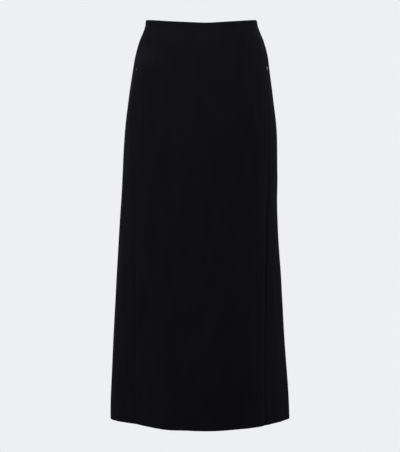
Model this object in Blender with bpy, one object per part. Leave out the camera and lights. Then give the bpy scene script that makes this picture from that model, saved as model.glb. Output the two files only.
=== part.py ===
"""Long straight A-line skirt in plain woven cloth, filled out as it is worn.

Three panels meet at two side seams and a centre-back seam with a concealed zip, and a
pocket bag hangs inside each side seam. The waist and the hem are turned edges.

Metres, +Z up. The origin is the middle of the waist opening, level with the waist edge at
the sides. The front faces -Y and the wearer's left is +X. Angles run round the tube in
degrees from the centre front (0) over the left side (90) to the centre back (180), and
are negative over the right side. Depths are measured down from the waist edge.
"""
import math
from bisect import bisect_right
from typing import NamedTuple

import bmesh
import bpy
from mathutils import Matrix, Vector

# Driving dimensions
LENGTH = 0.930           # waist edge to hem at the sides
CLOTH = 0.0015           # wall of one layer of cloth
TURNED_CLOTH = 0.0027    # wall where an edge is turned up behind the cloth
WAIST_TURN = 0.010       # depth of the turned waist edge
HEM_TURN = 0.035         # depth of the turned hem
TURN_STEP = 0.0015       # depth over which a turned layer ends
PIECE_GAP = 0.0003       # between pieces at a seam
FRONT_DIP = 0.0092       # the waist edge's even drop towards the centre front
MIDDLE_DIP = 0.0013      # and its further drop in the middle
MIDDLE_ANGLE = 5.0
MIDDLE_SPREAD = 14.0
BACK_DIP = 0.006         # the waist edge's drop at the centre back
DIP_FADE = 0.25          # depth by which the drop has gone
CENTRE_BACK = 180.0

# Pockets in the side seams
MOUTH_END = 0.117        # lower end of the pocket mouth
BAG_DEPTH = 0.260        # bottom of the pocket bag
BAG_WIDTH = 0.135        # from the seam towards the centre front
BAG_CORNER = 0.060       # radius of the bag's lower corners
BAG_CORNER_CUT = 0.8     # share of that radius cut away beside the seam
BAG_EDGE = 0.001         # its nearest edge to the seam
BAG_BELOW = 0.015        # how far that edge leaves the seam below the mouth
BAG_BELOW_FADE = 0.06    # depth over which it does so
BAG_TOP_NARROWING = 0.030
BAG_FULL_DEPTH = 0.15    # depth at which it has its full width
BAG_WALL = 0.0018        # two layers of pocketing that hang flat together

# Concealed zip in the centre-back seam
TAPE_END = 0.225
TAPE_WIDTH = 0.012
TAPE_WALL = 0.0010
TAPE_INSET = 0.0016      # tape edge to the middle of the seam
SLIDER_DEPTH = 0.016     # middle of the slider below the waist edge
SLIDER_BODY = (0.0076, 0.0026, 0.0100)
SLIDER_BEVEL = 0.0006
SLIDER_NECK = (0.0010, 0.0044)   # its width and height between the panels' edges
NECK_SPREAD = 0.0008     # how far each panel's edge gives way to the neck
NECK_SPREAD_REACH = 0.009   # how far above and below the neck it stays so
BRIDGE_PLATE = (0.0024, 0.0007, 0.0064)
BRIDGE_WIRE = 0.0009
BRIDGE_WIDTH = 0.0012
BRIDGE_EYE = (0.0017, 0.0030)
BRIDGE_SQUARENESS = 0.7  # below 1 the wire's bends are squarer than a circle's
BRIDGE_SINK = 0.0003     # how far its ends reach into the plate
BRIDGE_STEPS = 14
PULL_BAR = 0.0009        # thickness of the pull tab and of the bar in the bridge
PULL_LENGTH = 0.021
PULL_WIDTHS = (0.0042, 0.0050)
PULL_WINDOW = (0.0021, 0.0033)
PULL_REST_GAP = 0.0006   # tip of the tab to the cloth at rest
PULL_TIP = 0.97          # share of its length where it comes nearest to the cloth
BLADE_CORNER = 0.0018
BLADE_CORNER_STEPS = 5

SHARP_ANGLE = 40.0       # edges that bend by more than this stay sharp
STEP_ANGLE = 0.5         # steps by which directions and lengths on the tube are measured
STEP_DEPTH = 0.002
TINY = 1e-6


class Section(NamedTuple):
    """One level round of the skirt; the seams are in degrees forward of the side."""

    depth: float
    half_width: float
    shift: float
    front: float
    back: float
    pinch: float
    left_seam: float
    right_seam: float


SECTIONS = (
    # depth, half_width, shift, front, back, pinch, left_seam, right_seam
    Section(0.000, 0.1271, 0.0030, 0.084, 0.092, 0.00, 4.0, 5.0),
    Section(0.020, 0.1317, 0.0037, 0.090, 0.095, 0.00, 6.5, 7.5),
    Section(0.045, 0.1420, 0.0038, 0.097, 0.102, 0.00, 10.0, 11.0),
    Section(0.080, 0.1519, 0.0038, 0.103, 0.113, 0.00, 14.0, 15.5),
    Section(0.125, 0.1591, 0.0028, 0.107, 0.123, 0.00, 17.8, 20.5),
    Section(0.180, 0.1670, 0.0021, 0.110, 0.130, 0.01, 23.5, 28.0),
    Section(0.260, 0.1763, 0.0020, 0.113, 0.134, 0.03, 28.8, 35.0),
    Section(0.350, 0.1800, -0.0001, 0.115, 0.135, 0.08, 29.6, 36.0),
    Section(0.450, 0.1830, -0.0028, 0.118, 0.136, 0.15, 31.6, 37.0),
    Section(0.600, 0.1933, -0.0025, 0.122, 0.139, 0.25, 37.4, 40.3),
    Section(0.800, 0.2060, -0.0013, 0.127, 0.145, 0.36, 43.4, 43.0),
    Section(0.880, 0.2107, 0.0002, 0.129, 0.148, 0.40, 45.2, 43.4),
    Section(0.930, 0.2122, 0.0009, 0.130, 0.150, 0.42, 45.9, 43.9),
)


class Fold(NamedTuple):
    """A soft flute (or a trough, where height is negative) that grows down to the hem."""

    angle: float
    spread: float
    height: float
    start: float


FOLDS = (
    # angle, spread, height, start
    Fold(-74.0, 9.0, 0.0020, 0.40),
    Fold(-46.0, 14.0, -0.0072, 0.46),
    Fold(-21.0, 8.0, 0.0034, 0.32),
    Fold(-9.0, 7.0, -0.0022, 0.40),
    Fold(12.0, 9.0, 0.0018, 0.50),
    Fold(36.0, 12.0, 0.0056, 0.50),
    Fold(72.0, 9.0, -0.0030, 0.46),
    Fold(98.0, 10.0, -0.0050, 0.34),
    Fold(-101.0, 9.0, -0.0046, 0.40),
    Fold(127.0, 11.0, 0.0080, 0.30),
    Fold(-124.0, 12.0, 0.0072, 0.28),
    Fold(152.0, 10.0, -0.0070, 0.36),
    Fold(-155.0, 11.0, -0.0064, 0.34),
    Fold(177.0, 13.0, 0.0060, 0.44),
)


class Seam(NamedTuple):
    """How far a pressed seam lies below the cloth beside it, at the top and at the hem."""

    top: float
    hem: float
    start: float


SEAMS = {
    "left": Seam(top=0.0005, hem=0.0020, start=0.20),
    "right": Seam(top=0.0003, hem=0.0009, start=0.42),
    "back": Seam(top=0.0006, hem=0.0012, start=0.30),
}
SEAM_GROWTH = 0.25       # depth over which the hollow along a seam grows
SEAM_HOLLOW = 0.006      # half-width of that hollow


class Gape(NamedTuple):
    """Where the lower end of a pocket mouth stands open, and how far its edges part.

    It is widest at one depth and closes above and below, over a distance each.
    """

    widest: float
    above: float
    below: float
    sink: float
    rise: float


GAPES = {
    "left": Gape(widest=0.1080, above=0.0050, below=0.0110, sink=0.0018, rise=0.0026),
    "right": Gape(widest=0.1130, above=0.0045, below=0.0045, sink=0.0012, rise=0.0016),
}
GAPE_WIDTH = 0.010       # how far the parted edges reach into the panels


class Band(NamedTuple):
    """A stretch of the skirt's length, split into even rows of faces."""

    end: float
    rows: int


BANDS = (
    Band(WAIST_TURN, 1),
    Band(WAIST_TURN + TURN_STEP, 1),
    Band(0.036, 2),
    Band(0.098, 4),
    Band(MOUTH_END, 3),
    Band(BAG_DEPTH, 4),
    Band(LENGTH - HEM_TURN - TURN_STEP, 11),
    Band(LENGTH - HEM_TURN, 1),
    Band(LENGTH, 1),
)
EDGE_COLUMNS = (0.0, 0.0025, 0.0070)   # distances from a panel's edge
INNER_COLUMNS = 18
BAG_COLUMNS = 8
TAPE_COLUMNS = 2


class Finish(NamedTuple):
    """A piece's colour, roughness and metallic value."""

    colour: tuple
    roughness: float
    metallic: float


BLACK_CREPE = Finish((0.006, 0.006, 0.008), 0.85, 0.0)
PALE_POCKETING = Finish((0.55, 0.54, 0.52), 0.90, 0.0)
BLACK_TAPE = Finish((0.010, 0.010, 0.011), 0.80, 0.0)
BLACK_ENAMEL = Finish((0.014, 0.014, 0.016), 0.35, 0.6)


def ease(value):
    """Smooth step from 0 to 1."""
    value = min(max(value, 0.0), 1.0)
    return value * value * (3.0 - 2.0 * value)


def bell(offset, spread):
    """Rounded hump of height 1."""
    return math.exp(-((offset / spread) ** 2))


def turned(angle):
    """Angle in degrees as the same direction between -180 and 180."""
    return (angle + 180.0) % 360.0 - 180.0


def column_at(column, depth):
    """A column of the section table at any depth, on a smooth curve through its rows."""
    marks = [row.depth for row in SECTIONS]
    values = [getattr(row, column) for row in SECTIONS]
    low = min(max(bisect_right(marks, depth) - 1, 0), len(marks) - 2)
    slopes = []
    for index in (low, low + 1):
        before = max(index - 1, 0)
        after = min(index + 1, len(marks) - 1)
        slopes.append((values[after] - values[before]) / (marks[after] - marks[before]))
    span = marks[low + 1] - marks[low]
    t = (depth - marks[low]) / span
    rise = values[low + 1] - values[low]
    bend_low = slopes[0] * span - rise
    bend_high = rise - slopes[1] * span
    return values[low] + t * rise + t * (1 - t) * ((1 - t) * bend_low + t * bend_high)


def seam_angle(seam, depth):
    """Where a seam runs at a depth."""
    if seam == "left":
        return 90.0 - column_at("left_seam", depth)
    if seam == "right":
        return column_at("right_seam", depth) - 90.0
    return CENTRE_BACK


def fold_height(angle, depth):
    """How far the folds lift the cloth out there."""
    height = 0.0
    for fold in FOLDS:
        away = turned(angle - fold.angle)
        grown = ease((depth - fold.start) / (LENGTH - fold.start))
        height += fold.height * bell(away, fold.spread) * grown
    return height


def form_point(angle, depth):
    """Point on the outside of the cloth, with its folds but without the seams."""
    turn = math.radians(angle)
    across = math.sin(turn)
    along = math.cos(turn)
    half_width = column_at("half_width", depth)
    reach = column_at("front" if along > 0 else "back", depth)
    lens = 1.0 - column_at("pinch", depth) * across * across
    dip = (FRONT_DIP if along > 0 else BACK_DIP) * along * along
    dip += MIDDLE_DIP * bell(turned(angle - MIDDLE_ANGLE), MIDDLE_SPREAD)
    point = Vector((
        column_at("shift", depth) + half_width * across,
        -reach * along * lens,
        -depth - dip * (1.0 - ease(depth / DIP_FADE)),
    ))
    outward = Vector((reach * across, -half_width * along, 0.0)).normalized()
    return point + outward * fold_height(angle, depth)


def form_normal(angle, depth):
    """Outward direction of the cloth at a point."""
    round_about = form_point(angle + STEP_ANGLE, depth) - form_point(angle - STEP_ANGLE, depth)
    upward = form_point(angle, depth - STEP_DEPTH) - form_point(angle, depth + STEP_DEPTH)
    return round_about.cross(upward).normalized()


def arc_speed(angle, depth):
    """Metres of cloth in each degree round the tube."""
    ahead = form_point(angle + STEP_ANGLE, depth)
    behind = form_point(angle - STEP_ANGLE, depth)
    return (ahead - behind).length / (2 * STEP_ANGLE)


def seam_sink(seam, distance, depth):
    """How far the cloth lies in at a distance from a seam."""
    size = SEAMS[seam]
    deepest = size.top + (size.hem - size.top) * ease((depth - size.start) / SEAM_GROWTH)
    return deepest * bell(distance, SEAM_HOLLOW)


def mouth_shift(seam, side, distance, depth):
    """How far a pocket mouth's edge stands out: the front's edge in, the back's edge out."""
    if seam not in GAPES:
        return 0.0
    gape = GAPES[seam]
    down = depth - gape.widest
    open_share = ease(1.0 - abs(down) / (gape.below if down > 0 else gape.above))
    reach = -gape.sink if side == "front" else gape.rise
    return reach * open_share * bell(distance, GAPE_WIDTH)


def half_gap(seam, depth):
    """Half of the gap between two panels at a seam."""
    if seam != "back":
        return PIECE_GAP / 2
    near_neck = ease(2.0 - abs(depth - SLIDER_DEPTH) / NECK_SPREAD_REACH)
    return PIECE_GAP / 2 + NECK_SPREAD * near_neck


def wall_at(depth):
    """Thickness of the cloth, more where an edge is turned."""
    waist = 1.0 - ease((depth - WAIST_TURN) / TURN_STEP)
    hem = ease((depth - (LENGTH - HEM_TURN - TURN_STEP)) / TURN_STEP)
    return CLOTH + (TURNED_CLOTH - CLOTH) * max(waist, hem)


def row_depths():
    """Depths of all rows, from the waist edge to the hem."""
    depths = [0.0]
    for band in BANDS:
        start = depths[-1]
        for step in range(1, band.rows + 1):
            depths.append(start + (band.end - start) * step / band.rows)
    return depths


ROWS = row_depths()


class Panel(NamedTuple):
    """Points of a panel's two faces and its outward directions, row by row."""

    outer: list
    inner: list
    normals: list


def column_angles(first, last, depth):
    """Angles of a panel's columns, close together beside its seams."""
    start = seam_angle(first, depth)
    end = seam_angle(last, depth)
    if first == "back":
        start -= 360.0
    start_speed = arc_speed(start, depth)
    end_speed = arc_speed(end, depth)
    left = [start + (half_gap(first, depth) + away) / start_speed for away in EDGE_COLUMNS]
    right = [end - (half_gap(last, depth) + away) / end_speed for away in EDGE_COLUMNS]
    step = (right[-1] - left[-1]) / INNER_COLUMNS
    middle = [left[-1] + step * index for index in range(1, INNER_COLUMNS)]
    return left + middle + right[::-1]


def make_panel(first, last, side):
    """A panel from one seam round to the next, in the direction of growing angles."""
    panel = Panel([], [], [])
    for depth in ROWS:
        angles = column_angles(first, last, depth)
        outer = []
        normals = []
        for angle in angles:
            point = form_point(angle, depth)
            normal = form_normal(angle, depth)
            lift = 0.0
            for seam in (first, last):
                place = seam_angle(seam, depth)
                away = abs(turned(angle - place)) * arc_speed(place, depth)
                lift += mouth_shift(seam, side, away, depth) - seam_sink(seam, away, depth)
            outer.append(point + normal * lift)
            normals.append(normal)
        wall = wall_at(depth)
        panel.outer.append(outer)
        panel.normals.append(normals)
        panel.inner.append([point - normal * wall for point, normal in zip(outer, normals)])
    return panel


def wall_mesh(outer, inner):
    """Closed wall between two grids of points."""
    shape = bmesh.new()
    rows = len(outer)
    columns = len(outer[0])
    front = [[shape.verts.new(point) for point in row] for row in outer]
    rear = [[shape.verts.new(point) for point in row] for row in inner]
    for row in range(rows - 1):
        for column in range(columns - 1):
            for grid in (front, rear):
                shape.faces.new((grid[row][column], grid[row + 1][column],
                                 grid[row + 1][column + 1], grid[row][column + 1]))
    rim = [(0, column) for column in range(columns)]
    rim += [(row, columns - 1) for row in range(1, rows)]
    rim += [(rows - 1, column) for column in range(columns - 2, -1, -1)]
    rim += [(row, 0) for row in range(rows - 2, 0, -1)]
    for (row, column), (next_row, next_column) in zip(rim, rim[1:] + rim[:1]):
        shape.faces.new((front[row][column], front[next_row][next_column],
                         rear[next_row][next_column], rear[row][column]))
    bmesh.ops.recalc_face_normals(shape, faces=shape.faces)
    return shape


def along_row(points, normals, distance):
    """Point and outward direction at a distance along a row of points."""
    walked = 0.0
    for index in range(len(points) - 1):
        step = (points[index + 1] - points[index]).length
        if walked + step >= distance or index == len(points) - 2:
            share = (distance - walked) / step
            point = points[index].lerp(points[index + 1], share)
            return point, normals[index].lerp(normals[index + 1], share).normalized()
        walked += step


def layer_behind(panel, from_last, depth_range, span_at, columns, thickness):
    """Wall that lies against a panel's inner face.

    span_at gives, for a depth, its nearest and farthest distance from the panel's edge.
    """
    outer = []
    inner = []
    for index, depth in enumerate(ROWS):
        if not depth_range[0] - TINY <= depth <= depth_range[1] + TINY:
            continue
        order = -1 if from_last else 1
        points = panel.inner[index][::order]
        normals = panel.normals[index][::order]
        near, far = span_at(depth)
        outer_row = []
        inner_row = []
        for column in range(columns + 1):
            distance = near + (far - near) * column / columns
            point, normal = along_row(points, normals, distance)
            outer_row.append(point - normal * PIECE_GAP)
            inner_row.append(point - normal * (PIECE_GAP + thickness))
        outer.append(outer_row)
        inner.append(inner_row)
    return wall_mesh(outer, inner)


def bag_span(depth):
    """Edges of a pocket bag: straight beside the seam, with round lower corners."""
    into_corner = max(depth - (BAG_DEPTH - BAG_CORNER), 0.0) / BAG_CORNER
    cut = BAG_CORNER * (1.0 - math.sqrt(max(1.0 - into_corner ** 2, 0.0)))
    below_mouth = BAG_BELOW * ease((depth - MOUTH_END) / BAG_BELOW_FADE)
    widest = BAG_WIDTH - BAG_TOP_NARROWING * (1.0 - ease(depth / BAG_FULL_DEPTH))
    return BAG_EDGE + below_mouth + cut * BAG_CORNER_CUT, widest - cut


def tape_span(depth):
    """Edges of a zip tape, which keeps clear of the middle of the seam."""
    inset = TAPE_INSET - half_gap("back", depth)
    return inset, inset + TAPE_WIDTH


def add_object(name, shape, finish, parent=None, matrix=None):
    """New object with its own material, from a bmesh."""
    mesh = bpy.data.meshes.new(name)
    shape.to_mesh(mesh)
    shape.free()
    material = bpy.data.materials.new(name)
    material.use_nodes = True
    surface = material.node_tree.nodes["Principled BSDF"]
    surface.inputs["Base Color"].default_value = (*finish.colour, 1.0)
    surface.inputs["Roughness"].default_value = finish.roughness
    surface.inputs["Metallic"].default_value = finish.metallic
    mesh.materials.append(material)
    mesh.shade_smooth()
    mesh.set_sharp_from_angle(angle=math.radians(SHARP_ANGLE))
    item = bpy.data.objects.new(name, mesh)
    bpy.context.collection.objects.link(item)
    if parent:
        item.parent = parent
    if matrix:
        item.matrix_local = matrix
    return item


def block(size, centre=(0.0, 0.0, 0.0), bevel=0.0):
    """Box with slightly rounded edges."""
    shape = bmesh.new()
    bmesh.ops.create_cube(shape, size=1.0)
    bmesh.ops.scale(shape, vec=size, verts=shape.verts)
    if bevel:
        bmesh.ops.bevel(shape, geom=shape.edges, offset=bevel, segments=2, profile=0.5,
                        affect="EDGES")
    bmesh.ops.translate(shape, vec=centre, verts=shape.verts)
    return shape


def bridge_arch():
    """Flat wire bent into a D, whose eye holds the pull tab's bar; its flat side is at y 0."""
    depth, height = BRIDGE_EYE
    inner = []
    outer = []
    for index in range(BRIDGE_STEPS + 1):
        turn = math.pi * (index / BRIDGE_STEPS - 0.5)
        out = max(math.cos(turn), 0.0) ** BRIDGE_SQUARENESS
        inner.append((depth * out, height / 2 * math.sin(turn)))
        outer.append(((depth + BRIDGE_WIRE) * out,
                      (height / 2 + BRIDGE_WIRE) * math.sin(turn)))
    for line in (inner, outer):
        for end in (0, -1):
            line[end] = (-BRIDGE_SINK, line[end][1])
    shape = bmesh.new()
    rings = []
    for across in (-BRIDGE_WIDTH / 2, BRIDGE_WIDTH / 2):
        rings.append([[shape.verts.new((across, y, z)) for y, z in line]
                      for line in (inner, outer)])
    for index in range(BRIDGE_STEPS):
        for ring in rings:
            shape.faces.new((ring[0][index], ring[0][index + 1],
                             ring[1][index + 1], ring[1][index]))
        for line in (0, 1):
            shape.faces.new((rings[0][line][index], rings[0][line][index + 1],
                             rings[1][line][index + 1], rings[1][line][index]))
    for index in (0, BRIDGE_STEPS):
        shape.faces.new((rings[0][0][index], rings[0][1][index],
                         rings[1][1][index], rings[1][0][index]))
    bmesh.ops.recalc_face_normals(shape, faces=shape.faces)
    return shape


def pull_blade():
    """Flat tab that hangs from its bar at the origin and widens to a round end."""
    top_width, end_width = PULL_WIDTHS
    outline = [(-top_width / 2, PULL_BAR / 2), (top_width / 2, PULL_BAR / 2)]
    lowest = PULL_BAR / 2 - PULL_LENGTH
    for side in (1, -1):
        for index in range(BLADE_CORNER_STEPS + 1):
            step = index if side > 0 else BLADE_CORNER_STEPS - index
            turn = math.pi / 2 * step / BLADE_CORNER_STEPS
            outline.append((side * (end_width / 2 - BLADE_CORNER * (1 - math.cos(turn))),
                            lowest + BLADE_CORNER * (1 - math.sin(turn))))
    shape = bmesh.new()
    face = shape.faces.new([shape.verts.new((x, -PULL_BAR / 2, z)) for x, z in outline])
    thick = bmesh.ops.extrude_face_region(shape, geom=[face])
    moved = [item for item in thick["geom"] if isinstance(item, bmesh.types.BMVert)]
    bmesh.ops.translate(shape, vec=(0.0, PULL_BAR, 0.0), verts=moved)
    bmesh.ops.recalc_face_normals(shape, faces=shape.faces)
    return shape


def combine(item, tool_shape, operation):
    """Join a shape to an object, or cut it away."""
    mesh = bpy.data.meshes.new(item.name + "_tool")
    tool_shape.to_mesh(mesh)
    tool_shape.free()
    tool = bpy.data.objects.new(item.name + "_tool", mesh)
    bpy.context.collection.objects.link(tool)
    tool.parent = item
    tool.hide_render = True
    tool.display_type = "WIRE"
    change = item.modifiers.new(operation.lower(), "BOOLEAN")
    change.operation = operation
    change.object = tool
    change.solver = "EXACT"


def build_panels():
    """Front and two backs."""
    front = make_panel("right", "left", "front")
    back_left = make_panel("left", "back", "back")
    back_right = make_panel("back", "right", "back")
    add_object("front", wall_mesh(front.outer, front.inner), BLACK_CREPE)
    add_object("back_left", wall_mesh(back_left.outer, back_left.inner), BLACK_CREPE)
    add_object("back_right", wall_mesh(back_right.outer, back_right.inner), BLACK_CREPE)
    return front, back_left, back_right


def build_pockets(front):
    """A flat, empty bag behind the front panel at each side seam."""
    depths = (WAIST_TURN + TURN_STEP, BAG_DEPTH)
    for name, from_last in (("pocket_bag_left", True), ("pocket_bag_right", False)):
        bag = layer_behind(front, from_last, depths, bag_span, BAG_COLUMNS, BAG_WALL)
        add_object(name, bag, PALE_POCKETING)


def build_zip_tapes(back_left, back_right):
    """A tape behind each back panel, beside the centre-back seam."""
    depths = (WAIST_TURN + TURN_STEP, TAPE_END)
    sides = (("zip_tape_left", back_left, True), ("zip_tape_right", back_right, False))
    for name, panel, from_last in sides:
        tape = layer_behind(panel, from_last, depths, tape_span, TAPE_COLUMNS, TAPE_WALL)
        add_object(name, tape, BLACK_TAPE)


def build_slider():
    """Slider behind the seam, whose neck comes out between the panels to a bridge."""
    normal = form_normal(CENTRE_BACK, SLIDER_DEPTH)
    face = form_point(CENTRE_BACK, SLIDER_DEPTH) - normal * SEAMS["back"].top
    slope = math.atan2(normal.z, normal.y)
    frame = bpy.data.objects.new("slider_place", None)
    bpy.context.collection.objects.link(frame)
    frame.matrix_world = Matrix.Translation(face) @ Matrix.Rotation(slope, 4, "X")

    behind = TURNED_CLOTH + TAPE_WALL + 2 * PIECE_GAP
    body_y = -behind - SLIDER_BODY[1] / 2
    plate_y = 2 * PIECE_GAP + BRIDGE_PLATE[1] / 2
    slider = add_object("zip_slider", block(SLIDER_BODY, (0, body_y, 0), SLIDER_BEVEL),
                        BLACK_ENAMEL, frame, Matrix.Identity(4))
    neck_length = behind + plate_y + SLIDER_BODY[1] / 2
    neck_y = (plate_y - behind - SLIDER_BODY[1] / 2) / 2
    neck = block((SLIDER_NECK[0], neck_length, SLIDER_NECK[1]), (0, neck_y, 0))
    combine(slider, neck, "UNION")
    combine(slider, block(BRIDGE_PLATE, (0, plate_y, 0)), "UNION")
    arch = bridge_arch()
    plate_face = plate_y + BRIDGE_PLATE[1] / 2
    bmesh.ops.translate(arch, vec=(0, plate_face, 0), verts=arch.verts)
    combine(slider, arch, "UNION")
    return frame.matrix_world @ Vector((0.0, plate_face + BRIDGE_EYE[0] / 2, 0.0))


def build_pull(hinge):
    """Pull tab, which hangs from its bar in the bridge and lies down on the cloth."""
    tip_depth = -hinge.z - BACK_DIP + PULL_LENGTH * PULL_TIP
    tip_normal = form_normal(CENTRE_BACK, tip_depth)
    tip = form_point(CENTRE_BACK, tip_depth) + tip_normal * (PULL_REST_GAP + PULL_BAR / 2)
    lay = math.atan2(tip.y - hinge.y, hinge.z - tip.z)
    place = bpy.data.objects.new("pull_hinge", None)
    bpy.context.collection.objects.link(place)
    place.matrix_world = Matrix.Translation(hinge) @ Matrix.Rotation(lay, 4, "X")
    pull = add_object("zip_pull", pull_blade(), BLACK_ENAMEL, place, Matrix.Identity(4))
    window_width, window_length = PULL_WINDOW
    window_middle = -(PULL_BAR + window_length) / 2
    window = block((window_width, PULL_BAR * 3, window_length), (0, 0, window_middle))
    combine(pull, window, "DIFFERENCE")


def main():
    """Build all pieces of the skirt."""
    for item in list(bpy.data.objects):
        bpy.data.objects.remove(item, do_unlink=True)
    front, back_left, back_right = build_panels()
    build_pockets(front)
    build_zip_tapes(back_left, back_right)
    hinge = build_slider()
    build_pull(hinge)


main()
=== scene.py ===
"""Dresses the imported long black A-line skirt: its cloth, pockets, zip and the studio.

Metres, +Z up. The front faces -Y and the wearer's left is +X. Angles run round the tube in
degrees from the centre front (0) over the left side (90) to the centre back (180), and are
negative over the right side. Depths are measured down from the waist edge. Offsets are
measured inwards from the outside of the cloth.
"""
import logging
import math
from dataclasses import dataclass
from enum import Enum
from typing import NamedTuple

import bpy
import numpy as np
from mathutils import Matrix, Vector


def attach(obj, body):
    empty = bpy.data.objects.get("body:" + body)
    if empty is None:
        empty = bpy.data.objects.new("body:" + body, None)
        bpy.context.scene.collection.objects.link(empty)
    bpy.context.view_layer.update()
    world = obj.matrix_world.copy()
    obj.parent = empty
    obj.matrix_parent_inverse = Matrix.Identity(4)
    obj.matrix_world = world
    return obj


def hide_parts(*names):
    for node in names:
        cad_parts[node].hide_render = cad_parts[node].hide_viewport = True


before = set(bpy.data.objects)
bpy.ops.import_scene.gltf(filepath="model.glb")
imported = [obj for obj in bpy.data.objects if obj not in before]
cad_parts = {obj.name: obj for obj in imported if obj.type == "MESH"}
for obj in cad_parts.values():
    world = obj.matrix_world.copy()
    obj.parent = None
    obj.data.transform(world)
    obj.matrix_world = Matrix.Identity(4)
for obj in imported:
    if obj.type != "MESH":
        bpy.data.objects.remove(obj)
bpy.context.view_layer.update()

LOG = logging.getLogger("skirt")
SKIRT_BODY = "skirt"
CLOTH_MAP = "cloth"      # UV map in metres: across the cloth, and along its warp

LENGTH = 0.930           # waist edge to hem at the sides
FRONT_DIP = 0.0092       # the waist edge's even drop towards the centre front
MIDDLE_DIP = 0.0013      # and its further drop in the middle
MIDDLE_ANGLE = 5.0
MIDDLE_SPREAD = 14.0
BACK_DIP = 0.006         # the waist edge's drop at the centre back
DIP_FADE = 0.25          # depth by which the drop has gone
WAIST_TURN = 0.010       # how much of the waist edge is turned in
WAIST_STITCHES = 0.0090  # depth of the stitches that hold it
HEM_TURN = 0.035         # how much of the hem is turned up
CATCH_ABOVE = 0.003      # how far above the hem's raw edge its stitches reach
MOUTH_TOP = 0.0115       # pocket mouth, in the side seams
MOUTH_END = 0.117
MOUTH_FADE = 0.004       # distance over which a mouth's edges part
BAG_END = 0.260          # lower end of the pocket bags
SLIDER_DEPTH = 0.016     # middle of the zip's slider
SLIDER_REACH = 0.0025    # how far above and below that the seam parts round its neck

CLOTH = 0.0005           # one layer of crepe
LAYER = 0.00060          # from one pressed layer of crepe to the next
ALLOWANCE = 0.015        # seam allowance, pressed open
SEWN_GAP = -0.00003      # half of what parts a sewn seam's folds, which press into each other
MOUTH_GAP = 0.00015      # what a pocket mouth adds to it
NECK_GAP = 0.0008        # and what the slider's neck adds

THREAD_SIDES = 4         # sides of a thread's tube, which is too fine to look square
WIRE_SIDES = 5           # sides of a coil's
SHADER = "Principled BSDF"
WAVE_RADIANS = 20.0      # turn of a wave texture's phase for each metre, at a scale of 1


class Seam(Enum):
    """The seams that join the panels."""

    LEFT = "left"
    RIGHT = "right"
    BACK = "back"


class Section(NamedTuple):
    """One level round of the skirt; the seams are in degrees forward of the side."""

    depth: float
    half_width: float
    shift: float
    front: float
    back: float
    pinch: float
    left_seam: float
    right_seam: float


SECTIONS = (
    # depth, half_width, shift, front, back, pinch, left_seam, right_seam
    Section(0.000, 0.1271, 0.0030, 0.084, 0.092, 0.00, 4.0, 5.0),
    Section(0.020, 0.1317, 0.0037, 0.090, 0.095, 0.00, 6.5, 7.5),
    Section(0.045, 0.1420, 0.0038, 0.097, 0.102, 0.00, 10.0, 11.0),
    Section(0.080, 0.1519, 0.0038, 0.103, 0.113, 0.00, 14.0, 15.5),
    Section(0.125, 0.1591, 0.0028, 0.107, 0.123, 0.00, 17.8, 20.5),
    Section(0.180, 0.1670, 0.0021, 0.110, 0.130, 0.01, 23.5, 28.0),
    Section(0.260, 0.1763, 0.0020, 0.113, 0.134, 0.03, 28.8, 35.0),
    Section(0.350, 0.1800, -0.0001, 0.115, 0.135, 0.08, 29.6, 36.0),
    Section(0.450, 0.1830, -0.0028, 0.118, 0.136, 0.15, 31.6, 37.0),
    Section(0.600, 0.1933, -0.0025, 0.122, 0.139, 0.25, 37.4, 40.3),
    Section(0.800, 0.2060, -0.0013, 0.127, 0.145, 0.36, 43.4, 43.0),
    Section(0.880, 0.2107, 0.0002, 0.129, 0.148, 0.40, 45.2, 43.4),
    Section(0.930, 0.2122, 0.0009, 0.130, 0.150, 0.42, 45.9, 43.9),
)


class Fold(NamedTuple):
    """A soft flute (or a trough, where height is negative) that grows down to the hem."""

    angle: float
    spread: float
    height: float
    start: float


FOLDS = (
    # angle, spread, height, start
    Fold(-74.0, 9.0, 0.0020, 0.40),
    Fold(-46.0, 14.0, -0.0072, 0.46),
    Fold(-21.0, 8.0, 0.0034, 0.32),
    Fold(-9.0, 7.0, -0.0022, 0.40),
    Fold(12.0, 9.0, 0.0018, 0.50),
    Fold(36.0, 12.0, 0.0056, 0.50),
    Fold(72.0, 9.0, -0.0030, 0.46),
    Fold(98.0, 10.0, -0.0050, 0.34),
    Fold(-101.0, 9.0, -0.0046, 0.40),
    Fold(127.0, 11.0, 0.0080, 0.30),
    Fold(-124.0, 12.0, 0.0072, 0.28),
    Fold(152.0, 10.0, -0.0070, 0.36),
    Fold(-155.0, 11.0, -0.0064, 0.34),
    Fold(177.0, 13.0, 0.0060, 0.44),
)


class Crease(NamedTuple):
    """A soft ridge (or a trough, where height is negative) at a listed place.

    Angle and width are in degrees, depth, length and height in metres, and lean in degrees
    round the tube for each metre down.
    """

    angle: float
    depth: float
    width: float
    length: float
    height: float
    lean: float = 0.0


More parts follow.
